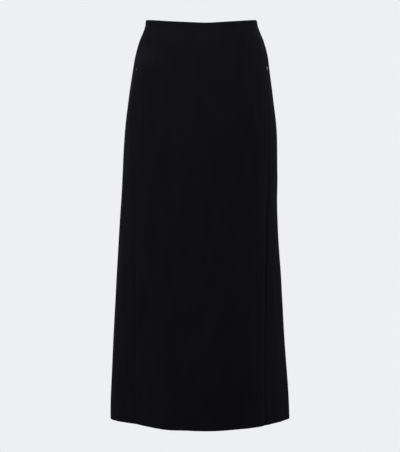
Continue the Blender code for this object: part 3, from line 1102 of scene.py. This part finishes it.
@dataclass
class Overlock:
    """Overlock stitches that bind a raw edge.

    Attributes:
        pitch: Distance between two stitches.
        bite: How far in the needle goes.
        lift: How far the threads stand off the cloth's middle.
        radius: The thread's radius; a real one is half as thick, and would not show.
    """

    pitch: float = 0.0032
    bite: float = 0.0040
    lift: float = 0.00052
    radius: float = 0.00022

    def path(self, edge: RawEdge) -> np.ndarray:
        """The looper thread's path along an edge.

        Args:
            edge: The edge.

        Returns:
            Its points: out over the edge and back in, stitch by stitch.
        """
        walked = walked_along(edge.line)
        stitches = max(int(walked[-1] / self.pitch), 2)
        # in on the face, over the edge, back underneath, and up again
        reach = np.array([1.0, 0.55, -0.08, -0.12, 0.55, 1.0])
        side = np.array([1.0, 1.0, 0.6, -0.6, -1.0, -1.0])
        places = np.linspace(0.0, walked[-1], stitches * len(reach) + 1)
        phase = np.arange(len(places)) % len(reach)
        points, inward, face = (read_along(line, walked, places) for line in edge)
        return (points + unit(inward) * reach[phase, None] * self.bite
                + unit(face) * side[phase, None] * self.lift)

    def build(self, name: str, edges: list[RawEdge],
              material: bpy.types.Material) -> bpy.types.Object:
        """Binds several edges as one piece."""
        paths = [self.path(edge) for edge in edges]
        return tube_object(name, paths, self.radius, THREAD_SIDES, material)


@dataclass
class LockStitch:
    """A row of lockstitches on the face of the cloth.

    Attributes:
        length: Length of one stitch.
        pitch: Distance from one stitch to the next.
        radius: The thread's radius.
    """

    length: float = 0.0024
    pitch: float = 0.0029
    radius: float = 0.00018

    def build(self, name: str, line: np.ndarray, face: np.ndarray,
              material: bpy.types.Material) -> bpy.types.Object:
        """Sews the row.

        Args:
            name: The piece's name.
            line: Points on the cloth's face, in order.
            face: Directions off the face, at those points.
            material: The thread's finish.

        Returns:
            The object.
        """
        walked = walked_along(line)
        starts = np.arange(self.pitch, walked[-1] - 2 * self.pitch, self.pitch)
        # up through the cloth, along its face and down again
        shares = np.array([0.0, 0.14, 0.5, 0.86, 1.0])
        heights = np.array([-1.5, 0.4, 0.7, 0.4, -1.5]) * self.radius
        paths = []
        for start in starts:
            places = start + shares * self.length
            off = unit(read_along(face, walked, places))
            paths.append(read_along(line, walked, places) + off * heights[:, None])
        return tube_object(name, paths, self.radius, THREAD_SIDES, material)


@dataclass
class CatchStitch:
    """A zigzag of thread that holds a turned hem to the inside of the cloth.

    Attributes:
        step: Distance along the hem from one of its points to the next; four make a stitch.
        radius: The thread's radius.
        clear: How far it stands off the raw edge.
    """

    step: float = 0.0020
    radius: float = 0.00018
    clear: float = 0.0006

    def build(self, name: str, low: np.ndarray, crest: np.ndarray, high: np.ndarray,
              material: bpy.types.Material) -> bpy.types.Object:
        """Sews the zigzag.

        Args:
            name: The piece's name.
            low: Points on the hem's turn, in order.
            crest: Points over its raw edge.
            high: Points on the cloth above it.
            material: The thread's finish.

        Returns:
            The object.
        """
        walked = walked_along(low)
        places = np.arange(self.step, walked[-1], self.step)
        lines = np.stack([read_along(line, walked, places) for line in (low, crest, high, crest)])
        order = np.arange(len(places))
        path = lines[order % len(lines), order]
        return tube_object(name, [path], self.radius, THREAD_SIDES, material)


@dataclass(frozen=True)
class Dart:
    """A sewn dart: a groove at its stitches, and soft fullness past its point.

    Attributes:
        place: Where it lies, as a share of the panel's width.
        length: Depth of its point.
        taper: Distance over which its groove runs out.
        groove: Depth and half-width of the groove right at the stitches.
        hollow: Depth and half-width of the pressed hollow round them.
        fullness: Height, half-width and half-length of the fullness.
        below: How far past the point that is highest.
    """

    place: float = 0.50
    length: float = 0.110
    taper: float = 0.012
    groove: tuple[float, float] = (0.0008, 0.0014)
    hollow: tuple[float, float] = (0.0004, 0.0050)
    fullness: tuple[float, float, float] = (0.0010, 0.0160, 0.022)
    below: float = 0.018

    def lift(self, away: np.ndarray, depth: np.ndarray) -> np.ndarray:
        """How the dart shapes the cloth round it.

        Args:
            away: Distances from its line.
            depth: Depths below the waist edge.

        Returns:
            Heights above the tube.
        """
        sewn = 1.0 - ease((depth - self.length + self.taper) / self.taper)
        lift = -sum(deep * bell(away, spread) for deep, spread in (self.groove, self.hollow))
        height, width, reach = self.fullness
        past = depth - self.length - self.below
        return lift * sewn + height * bell(away, width) * bell(past, reach)


class Rows(NamedTuple):
    """Rows of a panel, from the end of its waist turn to the end of its hem turn.

    Depths are not-a-number on the arcs of the two edges. Turns say how far the cloth has
    turned over, in radians, and edges where: -1 the waist, 1 the hem, 0 the face.
    """

    depths: np.ndarray
    turns: np.ndarray
    edges: np.ndarray


@dataclass
class ClothPanel:
    """A panel of the skirt with its pressed-open allowances, turned waist and turned hem.

    Attributes:
        name: The piece's name.
        node: The CAD node that it stands for.
        first: The seam that it starts from, in the direction of growing angles.
        last: The seam where it ends.
        flat: Width and length of the rectangle that it is cut from. Not used.
        area: Area of its cut. Not used.
        darts: Its darts.
        row_step: Distance between rows of faces.
        inner_columns: Columns of faces between the finer ones at the seams.
        arc_steps: Steps in which the cloth turns over at an edge or a fold.
        usual_width: About how wide a panel is, to space the columns at a dart.
        turn_rows: Rows of the turned waist edge, and of the hem's turn above the near ones.
        allowance_columns: Columns across an allowance.
        edge_start: Depth where the arc of a turned edge ends and the face begins.
        waist_rows: Depths of the rows near the waist, closer where its turn ends and shows.
        hem_rows: How far above the lowest row of the face the rows near the hem lie.
        seam_columns: Distances of the columns beside a seam.
        dart_columns: Distances of the columns beside a dart.
        level_fade: Distance past the allowances over which a turned edge gets thinner.
    """

    name: str
    node: str
    first: Seam
    last: Seam
    flat: tuple[float, float]
    area: float
    darts: tuple[Dart, ...] = ()
    row_step: float = 0.0036
    inner_columns: int = 92
    arc_steps: int = 6
    usual_width: float = 0.30
    turn_rows: tuple[int, int] = (4, 7)
    allowance_columns: int = 6
    edge_start: float = 0.0012
    waist_rows: tuple[float, ...] = (0.0026, 0.0045, 0.0065, 0.0082, 0.0092, 0.0100, 0.0107,
                                     0.0116, 0.0130, 0.0150)
    hem_rows: tuple[float, ...] = (0.003, 0.006, 0.010)
    seam_columns: tuple[float, ...] = (0.0011, 0.0017, 0.0025, 0.0036, 0.0050, 0.0068, 0.0090,
                                       0.0120)
    dart_columns: tuple[float, ...] = (0.0005, 0.0010, 0.0017, 0.0026, 0.0040)
    level_fade: float = 0.009

    def rows(self) -> Rows:
        """Spaces the rows, closer at the edges and where the waist turn shows.

        Returns:
            The rows.
        """
        end = LENGTH - self.edge_start
        lowest, near_hem, above = (end - height for height in self.hem_rows)
        waist_turn = np.linspace(WAIST_TURN, self.edge_start, self.turn_rows[0])
        count = round((near_hem - self.waist_rows[-1]) / self.row_step)
        body = np.linspace(self.waist_rows[-1], near_hem, count + 1)[1:]
        face = joined(self.edge_start, self.waist_rows, body, lowest, end)
        hem_turn = joined(end, lowest, near_hem,
                          np.linspace(above, LENGTH - HEM_TURN, self.turn_rows[1]))
        arc = np.linspace(math.pi, 0.0, self.arc_steps + 1)
        on_arc = np.full_like(arc, np.nan)
        depths = joined(waist_turn, on_arc, face, on_arc, hem_turn)
        turns = joined(np.full_like(waist_turn, math.pi), arc, np.zeros_like(face), arc[::-1],
                       np.full_like(hem_turn, math.pi))
        edges = np.repeat([-1, 0, 1], [len(waist_turn) + len(arc), len(face),
                                       len(arc) + len(hem_turn)])
        return Rows(depths, turns, edges)

    def edge_columns(self) -> tuple[np.ndarray, np.ndarray]:
        """Columns at a seam, from the allowance's raw edge round the fold to the panel.

        Returns:
            Distances from the seam, and how many layers down each column lies.
        """
        fold = CLOTH / 2 + LAYER / 2
        under = np.linspace(ALLOWANCE, fold, self.allowance_columns)
        turn = np.linspace(math.pi, 0.0, self.arc_steps + 1)[1:-1]
        arc = CLOTH / 2 + LAYER / 2 * (1.0 - np.sin(turn))
        over = joined(fold, self.seam_columns)
        layers = joined(np.ones_like(under), 0.5 * (1.0 - np.cos(turn)), np.zeros_like(over))
        return joined(under, arc, over), layers

    def inner_shares(self) -> np.ndarray:
        """Spaces the columns between the two seams, closer at the darts.

        Returns:
            Their places as shares of the width.
        """
        shares = np.linspace(0.0, 1.0, self.inner_columns + 1)[1:-1]
        beside = np.array(self.dart_columns)
        for dart in self.darts:
            near = joined(-beside[::-1], 0.0, beside) / self.usual_width + dart.place
            shares = joined(shares[(shares < near[0]) | (shares > near[-1])], near)
        return np.sort(shares)

    def seam_gap(self, seam: Seam, depth: np.ndarray) -> np.ndarray:
        """Half of what parts the two folds of a seam.

        Args:
            seam: The seam.
            depth: Depths below the waist edge.

        Returns:
            The gap: none at the stitches, some at the pocket mouths and round the slider.
        """
        if seam is Seam.BACK:
            near = ease(2.0 - np.abs(depth - SLIDER_DEPTH) / SLIDER_REACH)
            return SEWN_GAP + NECK_GAP * near
        mouth = ease((depth - MOUTH_TOP) / MOUTH_FADE) * ease((MOUTH_END - depth) / MOUTH_FADE)
        return SEWN_GAP + MOUTH_GAP * mouth

    def depths_and_offsets(self, rows: Rows, away: np.ndarray,
                           layers: np.ndarray) -> tuple[np.ndarray, np.ndarray]:
        """Where the turned edges put each point.

        Args:
            rows: The panel's rows.
            away: Distance of each column from its seam.
            layers: How many layers down each column lies.

        Returns:
            Depths below the waist edge, and offsets inwards from the outside of the cloth.
        """
        # three layers lie between the face and the turned cloth where allowances are inside
        stack = 1.0 + 2.0 * (1.0 - ease((away - ALLOWANCE - CLOTH) / self.level_fade))
        centre = stack / 2 * LAYER
        radius = (stack / 2 - layers) * LAYER
        arc = centre - radius * np.sin(rows.turns[:, None])
        arc = np.where(rows.edges[:, None] < 0, arc, LENGTH - arc)
        depth = np.where(np.isnan(rows.depths)[:, None], arc, rows.depths[:, None])
        return depth, centre - radius * np.cos(rows.turns[:, None])

    def grid(self) -> np.ndarray:
        """Lays the cloth over the form.

        Returns:
            Points in the middle of the cloth, by row and column.
        """
        away, layers = self.edge_columns()
        shares = self.inner_shares()
        past_seams = np.ones_like(shares)   # a metre is farther than any seam's effect
        depth, offset = self.depths_and_offsets(
            self.rows(), joined(away, past_seams, away[::-1]),
            joined(layers, np.zeros_like(shares), layers[::-1]))
        beyond = np.full(len(shares) + len(away), away[-1])
        # from the back seam, the angles grow from -180
        first = FORM.seam_angle(self.first, depth) - (360.0 if self.first is Seam.BACK else 0.0)
        last = FORM.seam_angle(self.last, depth)
        start = first + (self.seam_gap(self.first, depth) + joined(away, beyond)) / FORM.speed(
            first, depth)
        end = last - (self.seam_gap(self.last, depth) + joined(beyond, away[::-1])) / FORM.speed(
            last, depth)
        share = joined(np.zeros_like(away), shares, np.ones_like(away))
        angle = start + (end - start) * share
        lift = FORM.outer_lift(angle, depth, (self.first, self.last),
                               Seam.BACK not in (self.first, self.last))
        width = (end - start) * FORM.speed((start + end) / 2, depth)
        for dart in self.darts:
            lift += dart.lift((share - dart.place) * width, depth)
        return FORM.surface(angle, depth, lift - offset - CLOTH / 2)

    def overlock(self, grid: np.ndarray, material: bpy.types.Material) -> bpy.types.Object:
        """Binds the raw edges of the allowances and of the hem's turn.

        Args:
            grid: Points in the middle of the cloth.
            material: The thread's finish.

        Returns:
            The stitches.
        """
        down = np.gradient(grid, axis=0)
        across = np.gradient(grid, axis=1)
        face = facing(grid)
        on_face = np.flatnonzero(self.rows().edges == 0)
        side = slice(on_face[0] - 1, on_face[-1] + 2)
        hem = slice(3, -3)   # clear of the corners, which the sides' threads bind
        edges = [RawEdge(grid[side, 0], across[side, 0], face[side, 0]),
                 RawEdge(grid[side, -1], -across[side, -1], face[side, -1]),
                 RawEdge(grid[-1, hem], -down[-1, hem], face[-1, hem])]
        return Overlock().build(self.name + "_overlock", edges, material)

    def row_at(self, depth: float) -> int:
        """Number of the row of the panel's face that lies nearest to a depth."""
        rows = self.rows()
        return int(np.argmin(np.where(rows.edges == 0, np.abs(rows.depths - depth), np.inf)))

    def sew_turns(self, grid: np.ndarray,
                  material: bpy.types.Material) -> list[bpy.types.Object]:
        """Sews down the turned waist edge and the turned hem.

        Args:
            grid: Points in the middle of the cloth.
            material: The thread's finish.

        Returns:
            The row of stitches on the face and the zigzag inside the hem.
        """
        face = facing(grid)
        skin = grid + face * CLOTH / 2
        inside = grid - face * CLOTH / 2
        away, layers = self.edge_columns()
        folded = np.count_nonzero(layers)
        on_face = slice(folded, -folded)
        row = self.row_at(WAIST_STITCHES)
        waist = LockStitch().build(self.name + "_waist_stitches", skin[row, on_face],
                                   face[row, on_face], material)
        between = slice(len(away) + 1, -len(away) - 1)
        stitch = CatchStitch()
        low = (skin[-1, between] + skin[-2, between]) / 2
        crest = skin[-1, between] + face[-1, between] * stitch.clear
        high = inside[self.row_at(LENGTH - HEM_TURN - CATCH_ABOVE), between]
        return [waist, stitch.build(self.name + "_hem_stitches", low, crest, high, material)]

    def dress(self, wardrobe: Wardrobe) -> list[bpy.types.Object]:
        """Args:
            wardrobe: The finishes.

        Returns:
            The panel and its stitches.
        """
        grid = self.grid()
        panel = shell_object(self.name, grid, CLOTH, wardrobe.crepe)
        stitches = [self.overlock(grid, wardrobe.thread),
                    *self.sew_turns(grid, wardrobe.thread)]
        for piece in (panel, *stitches):
            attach(piece, SKIRT_BODY)
        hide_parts(self.node)
        return [panel, *stitches]


@dataclass
class PocketBag:
    """A pocket bag of undyed cotton behind the front panel, empty and hanging.

    Attributes:
        name: The piece's name.
        node: The CAD node that it stands for.
        seam: The side seam that it hangs in.
        width: From the seam towards the centre front.
        narrower: How much narrower it is at the waist edge.
        narrow_end: Depth by which it has its whole width.
        corner: Radius of its lower corners.
        corner_share: How far the corner at the seam is cut, against the other.
        edge: From the seam to the bag's edge beside the mouth.
        below: How much farther that edge lies from the seam below the mouth.
        below_fade: Distance over which it gets there.
        cotton: Thickness of one layer.
        behind: How far behind the front panel's allowances the front layer hangs.
        apart: How far the two layers are apart at their edges.
        puff: How much farther they part in the middle.
        lip: How far the back layer reaches behind the back panel at the mouth.
        lip_fade: Distance over which it gets there.
        lip_behind: How far behind the back panel's allowance it lies.
        lip_below: How far below the mouth it starts to draw back.
        lip_return: Distance over which it does.
        fold: How far the fold stands out past the two layers.
        tip: How far above its end the lowest row lies, where the corners meet.
        flat: Width and length of the rectangle that it is cut from, open. Not used.
        area: Area of its cut. Not used.
        rows: Rows of points down each layer.
        columns: Columns of points across each layer.
    """

    name: str
    node: str
    seam: Seam
    width: float = 0.135
    narrower: float = 0.030
    narrow_end: float = 0.15
    corner: float = 0.060
    corner_share: float = 0.8
    edge: float = 0.001
    below: float = 0.015
    below_fade: float = 0.06
    cotton: float = 0.0003
    behind: float = 0.0006
    apart: float = 0.0005
    puff: float = 0.0022
    lip: float = 0.0060
    lip_fade: float = 0.0035
    lip_behind: float = 0.0004
    lip_below: float = 0.001
    lip_return: float = 0.006
    fold: float = 0.0004
    tip: float = 0.0004
    flat: tuple[float, float] = (0.320, 0.256)
    area: float = 0.069
    rows: int = 78
    columns: int = 40

    def span(self, depth: np.ndarray) -> tuple[np.ndarray, np.ndarray]:
        """Edges of the bag: straight beside the seam, with round lower corners.

        Args:
            depth: Depths below the waist edge.

        Returns:
            Its nearest and farthest distance from the seam.
        """
        into = np.clip((depth - (BAG_END - self.corner)) / self.corner, 0.0, 1.0)
        cut = self.corner * (1.0 - np.sqrt(1.0 - into ** 2))
        below = self.below * ease((depth - MOUTH_END) / self.below_fade)
        widest = self.width - self.narrower * (1.0 - ease(depth / self.narrow_end))
        return self.edge + below + cut * self.corner_share, widest - cut

    def layer(self, near: np.ndarray, far: np.ndarray, depth: np.ndarray,
              back: bool) -> np.ndarray:
        """One layer of the bag.

        Args:
            near: Its nearest distance from the seam, by row.
            far: Its farthest distance from the seam, by row.
            depth: Depths of its rows.
            back: Whether it is the layer towards the wearer.

        Returns:
            Points in the middle of the cotton, by row and column.
        """
        share = np.linspace(0.0, 1.0, self.columns)[None, :]
        away = near[:, None] + (far - near)[:, None] * share
        level = depth[:, None] + np.zeros_like(away)
        sign = -1.0 if self.seam is Seam.LEFT else 1.0
        place = FORM.seam_angle(self.seam, level)
        speed = FORM.speed(place, level)
        angle = place + sign * away / speed
        lift = FORM.outer_lift(angle, level, (self.seam,), True)
        offset = np.full_like(away, CLOTH + 2 * LAYER + self.behind)
        if back:
            down = (level - level[0]) / (level[-1] - level[0])
            swell = np.sqrt(4 * share * (1 - share)) * np.sqrt(4 * down * (1 - down))
            sag = 0.6 + 0.4 * np.sin(9.0 * share + 4.0 * down + 0.7) ** 2   # hangs unevenly
            offset += self.apart + self.puff * swell * sag
            # at the mouth it passes behind the back panel, and follows that panel's edge
            beyond = ease(1.0 - away / self.lip_fade)
            rear = FORM.outer_lift(place - sign * np.abs(away) / speed, level, (self.seam,),
                                   False)
            lift = lift * (1 - beyond) + rear * beyond
            offset = offset * (1 - beyond) + (CLOTH + LAYER + self.lip_behind) * beyond
        return FORM.surface(angle, level, lift - offset)

    def layers(self) -> tuple[np.ndarray, np.ndarray]:
        """Both layers.

        Returns:
            Points of the layer towards the wearer, and of the one behind the front panel.
        """
        depth = np.linspace(MOUTH_TOP, BAG_END - self.tip, self.rows)
        near, far = self.span(depth)
        at_mouth = 1.0 - ease((depth - MOUTH_END - self.lip_below) / self.lip_return)
        rear = self.layer(near - (self.lip + near) * at_mouth, far, depth, True)
        return rear, self.layer(near, far, depth, False)

    def build(self, rear: np.ndarray, face: np.ndarray,
              material: bpy.types.Material) -> bpy.types.Object:
        """Both layers as one piece, folded at the edge towards the centre front.

        Args:
            rear: Points of the layer towards the wearer.
            face: Points of the layer behind the front panel.
            material: Their finish.

        Returns:
            The bag.
        """
        toward = unit(rear[:, -1] - rear[:, -2])
        fold = (rear[:, -1] + face[:, -1]) / 2 + toward * self.fold
        middle = np.concatenate([rear, fold[:, None], face[:, ::-1]], axis=1)
        if self.seam is Seam.RIGHT:
            middle = middle[:, ::-1]
        return shell_object(self.name, middle, self.cotton, material)

    def overlock(self, rear: np.ndarray, material: bpy.types.Material) -> bpy.types.Object:
        """Binds the bag's edges.

        Args:
            rear: Points of the layer towards the wearer.
            material: The thread's finish.

        Returns:
            The stitches.
        """
        down = np.gradient(rear, axis=0)
        across = np.gradient(rear, axis=1)
        face = facing(rear)
        below = slice(self.rows // 2, None)
        edges = [RawEdge(rear[:, -1], -across[:, -1], face[:, -1]),
                 RawEdge(rear[below, 0], across[below, 0], face[below, 0]),
                 RawEdge(rear[-1], -down[-1], face[-1])]
        finer = Overlock(pitch=0.0028, bite=0.0035, lift=0.0006, radius=0.00018)
        return finer.build(self.name + "_overlock", edges, material)

    def dress(self, wardrobe: Wardrobe) -> list[bpy.types.Object]:
        """Args:
            wardrobe: The finishes.

        Returns:
            The bag and its stitches.
        """
        rear, face = self.layers()
        bag = self.build(rear, face, wardrobe.pocketing)
        stitches = self.overlock(rear, wardrobe.pale_thread)
        for piece in (bag, stitches):
            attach(piece, SKIRT_BODY)
        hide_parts(self.node)
        return [bag, stitches]


@dataclass
class ConcealedZip:
    """The concealed zip in the centre-back seam: two tapes and the two closed coils.

    Attributes:
        top: Depth of the tapes' upper ends.
        end: Depth of their lower ends.
        near: From the seam to a tape's inner edge, beside its coil.
        bend: From the seam to the last of its closer columns.
        flat_start: From the seam to the first of its wider ones.
        far: From the seam to its outer edge.
        columns: How many closer and how many wider columns it has.
        rows: How many rows it has.
        tape_offset: How deep the tape lies where it is flat.
        tape_dip: How much deeper it lies beside its coil.
        dip_start: From the seam to where it starts to rise from there.
        dip_fade: Distance over which it does.
        flat: Width and length of a tape. Not used.
        thickness: Thickness of a tape.
        coil_start: How far below the tapes' upper ends the coils start.
        coil_short: How much shorter than the tapes they are.
        coil_pitch: Distance between two turns of a coil; real ones are 0.7 mm apart.
        coil_radius: Half-width of a coil.
        coil_flat: Its half-depth, as a share of that.
        coil_apart: From the seam to a coil's middle.
        coil_offset: How deep a coil lies.
        wire: Radius of the coil's filament.
    """

    top: float = 0.0115
    end: float = 0.225
    near: float = 0.0011
    bend: float = 0.005
    flat_start: float = 0.006
    far: float = 0.0131
    columns: tuple[int, int] = (7, 6)
    rows: int = 72
    tape_offset: float = 0.0025
    tape_dip: float = 0.0021
    dip_start: float = 0.0018
    dip_fade: float = 0.0035
    flat: tuple[float, float] = (0.0128, 0.2120)
    thickness: float = 0.0004
    coil_start: float = 0.003
    coil_short: float = 0.008
    coil_pitch: float = 0.0012
    coil_radius: float = 0.00085
    coil_flat: float = 0.75
    coil_apart: float = 0.0005
    coil_offset: float = 0.0056
    wire: float = 0.00030

    def tape(self, sign: float, name: str, material: bpy.types.Material) -> bpy.types.Object:
        """One tape, sewn flat to the allowance and standing up to its coil.

        Args:
            sign: Which side of the seam it lies on.
            name: The piece's name.
            material: Its finish.

        Returns:
            The tape.
        """
        away = joined(np.linspace(self.near, self.bend, self.columns[0]),
                      np.linspace(self.flat_start, self.far, self.columns[1]))
        level = np.linspace(self.top, self.end, self.rows)[:, None] + np.zeros_like(away)
        seam = FORM.seam_angle(Seam.BACK, level)
        angle = seam + sign * away / FORM.speed(seam, level)
        lift = FORM.outer_lift(angle, level, (Seam.BACK,), False)
        beside_coil = 1.0 - ease((away - self.dip_start) / self.dip_fade)
        middle = FORM.surface(angle, level,
                              lift - self.tape_offset - self.tape_dip * beside_coil)
        if sign < 0:
            middle = middle[:, ::-1]
        return shell_object(name, middle, self.thickness, material)

    def coil(self, sign: float, name: str, material: bpy.types.Material) -> bpy.types.Object:
        """One coil, whose turns mesh with the other's.

        Args:
            sign: Which side of the seam it lies on.
            name: The piece's name.
            material: Its finish.

        Returns:
            The coil.
        """
        count = int((self.end - self.top - self.coil_short) / self.coil_pitch)
        steps = 8   # in each turn
        index = np.arange(count * steps + 1)
        depth = self.top + self.coil_start + index * self.coil_pitch / steps
        turn = index * 2 * math.pi / steps + (0.0 if sign > 0 else math.pi)
        away = sign * self.coil_apart + self.coil_radius * np.cos(turn)
        offset = self.coil_offset + self.coil_radius * self.coil_flat * np.sin(turn)
        seam = FORM.seam_angle(Seam.BACK, depth)
        height = FORM.creases(seam, depth) - offset
        path = (FORM.point(seam + away / FORM.speed(seam, depth), depth)
                + FORM.normal(seam, depth) * height[:, None])
        return tube_object(name, [path], self.wire, WIRE_SIDES, material)

    def dress(self, wardrobe: Wardrobe) -> list[bpy.types.Object]:
        """Builds the zip's soft parts and finishes its slider and pull tab.

        Args:
            wardrobe: The finishes.

        Returns:
            The tapes and coils.
        """
        pieces = []
        for side, sign in (("left", -1.0), ("right", 1.0)):
            tape = self.tape(sign, side + "_zip_tape", wardrobe.tape)
            coil = self.coil(sign, side + "_zip_coil", wardrobe.coil)
            for piece in (tape, coil):
                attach(piece, SKIRT_BODY)
            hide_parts("zip_tape_" + side)
            pieces += [tape, coil]
        for name in ("zip_slider", "zip_pull"):
            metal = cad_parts[name]
            metal.data.materials.clear()
            metal.data.materials.append(wardrobe.enamel)
        return pieces


@dataclass
class SoftBox:
    """A soft rectangular light that faces a point.

    Attributes:
        name: The light's name.
        place: Where it stands.
        aim: What it faces.
        size: Width and height.
        power: Watts.
    """

    name: str
    place: tuple[float, float, float]
    aim: tuple[float, float, float]
    size: tuple[float, float]
    power: float

    def build(self) -> None:
        """Sets up the light."""
        lamp = bpy.data.lights.new(self.name, "AREA")
        lamp.shape = "RECTANGLE"
        lamp.size, lamp.size_y = self.size
        lamp.energy = self.power
        item = bpy.data.objects.new(self.name, lamp)
        bpy.context.collection.objects.link(item)
        item.location = self.place
        direction = Vector(self.aim) - Vector(self.place)
        item.rotation_euler = direction.to_track_quat("-Z", "Y").to_euler()


LIGHTS = (
    # name, place, aim, size, power
    SoftBox("key", (-0.7, -1.9, 1.5), (0.0, 0.0, -0.10), (1.6, 1.0), 31.0),
    SoftBox("counter", (0.8, -1.9, 1.4), (0.0, 0.0, -0.10), (1.6, 1.0), 7.0),
    SoftBox("front", (-0.3, -3.6, 0.3), (0.0, 0.0, -0.40), (2.4, 2.0), 5.0),
    SoftBox("left_side", (2.0, 0.5, -0.2), (0.15, 0.0, -0.50), (0.5, 1.6), 4.3),
    SoftBox("right_side", (-2.0, 0.4, -0.2), (-0.15, 0.0, -0.50), (0.5, 1.6), 2.0),
    SoftBox("right_low", (-1.5, 0.5, -1.0), (-0.20, 0.0, -0.92), (0.3, 0.3), 0.6),
    SoftBox("rear", (0.4, 2.4, 1.5), (0.0, 0.1, -0.20), (1.6, 1.0), 22.0),
)


@dataclass
class Studio:
    """The pale studio: seamless ground, soft light and the camera of the photograph.

    Attributes:
        ground: Colour of the floor and of what lies behind.
        floor_level: Height of the floor, a hand's breadth below the hem.
        floor_radius: Its radius.
        floor_sides: How many sides the round of it has.
        fill: Strength of the light from all round.
        camera_place: Where the camera stands.
        pitch: How far down it looks, in degrees.
        focal_pixels: Its focal length in pixels of the image.
        image: Width and height of the image in pixels.
        sensor: Width of the camera's sensor in millimetres.
    """

    ground: str = "#EEEFF3"
    floor_level: float = -1.05
    floor_radius: float = 1.5
    floor_sides: int = 96
    fill: float = 0.24
    camera_place: tuple[float, float, float] = (0.0, -3.0, -0.200)
    pitch: float = 5.2345
    focal_pixels: float = 1291.018
    image: tuple[int, int] = (400, 452)
    sensor: float = 36.0

    def build_ground(self) -> None:
        """Sets the plain pale floor, and the same pale tone all round it."""
        world = bpy.data.worlds.new("studio")
        bpy.context.scene.world = world
        world.use_nodes = True
        tree = world.node_tree
        tree.nodes.clear()
        seen = add_node(tree, "ShaderNodeBackground", {"Color": srgb(self.ground)})
        lit = add_node(tree, "ShaderNodeBackground",
                       {"Color": srgb(self.ground), "Strength": self.fill})
        ray = add_node(tree, "ShaderNodeLightPath")
        mixed = add_node(tree, "ShaderNodeMixShader", None,
                         {0: ray.outputs["Is Camera Ray"], 1: lit.outputs[0],
                          2: seen.outputs[0]})
        add_node(tree, "ShaderNodeOutputWorld", None, {"Surface": mixed.outputs[0]})
        turns = np.linspace(0.0, 2 * math.pi, self.floor_sides, endpoint=False)
        rim = np.stack([np.cos(turns), np.sin(turns), np.zeros_like(turns)], axis=-1)
        mesh = bpy.data.meshes.new("floor")
        mesh.from_pydata((rim * self.floor_radius + (0, 0, self.floor_level)).tolist(), [],
                         [list(range(len(turns)))])
        floor = bpy.data.objects.new("floor", mesh)
        bpy.context.collection.objects.link(floor)
        mesh.materials.append(new_material("pale_paper", {
            "Base Color": srgb("#000000"), "Specular IOR Level": 0.0,
            "Emission Color": srgb(self.ground), "Emission Strength": 1.0}))
        floor.visible_diffuse = False
        floor.visible_glossy = False
        floor.visible_shadow = False

    def build_lights(self) -> None:
        """Hangs the soft lights."""
        for box in LIGHTS:
            box.build()

    def build_camera(self) -> None:
        """Sets the camera square to the front, at the photograph's height and angle."""
        lens = bpy.data.cameras.new("camera")
        lens.sensor_width = self.sensor
        lens.lens = self.focal_pixels * self.sensor / max(self.image)
        camera = bpy.data.objects.new("camera", lens)
        bpy.context.collection.objects.link(camera)
        camera.location = self.camera_place
        camera.rotation_euler = (math.radians(90.0 - self.pitch), 0.0, 0.0)
        bpy.context.scene.camera = camera

    def build(self) -> None:
        """Sets up the whole studio."""
        self.build_ground()
        self.build_lights()
        self.build_camera()
        bpy.context.scene.view_settings.view_transform = "Standard"


def main() -> None:
    """Builds every piece of the skirt and its studio, in order."""
    logging.basicConfig(level=logging.INFO, format="%(name)s: %(message)s")
    wardrobe = Wardrobe()
    parts = (
        ClothPanel("front_panel", "front", Seam.RIGHT, Seam.LEFT, (0.384, 0.970), 0.354),
        ClothPanel("back_left_panel", "back_left", Seam.LEFT, Seam.BACK, (0.408, 0.985),
                   0.335, (Dart(),)),
        ClothPanel("back_right_panel", "back_right", Seam.BACK, Seam.RIGHT, (0.403, 0.985),
                   0.341, (Dart(),)),
        PocketBag("left_pocket_bag", "pocket_bag_left", Seam.LEFT),
        PocketBag("right_pocket_bag", "pocket_bag_right", Seam.RIGHT),
        ConcealedZip(),
    )
    for part in parts:
        for piece in part.dress(wardrobe):
            LOG.info("%s: %d faces", piece.name, len(piece.data.polygons))
    Studio().build()


if __name__ == "__main__":
    main()
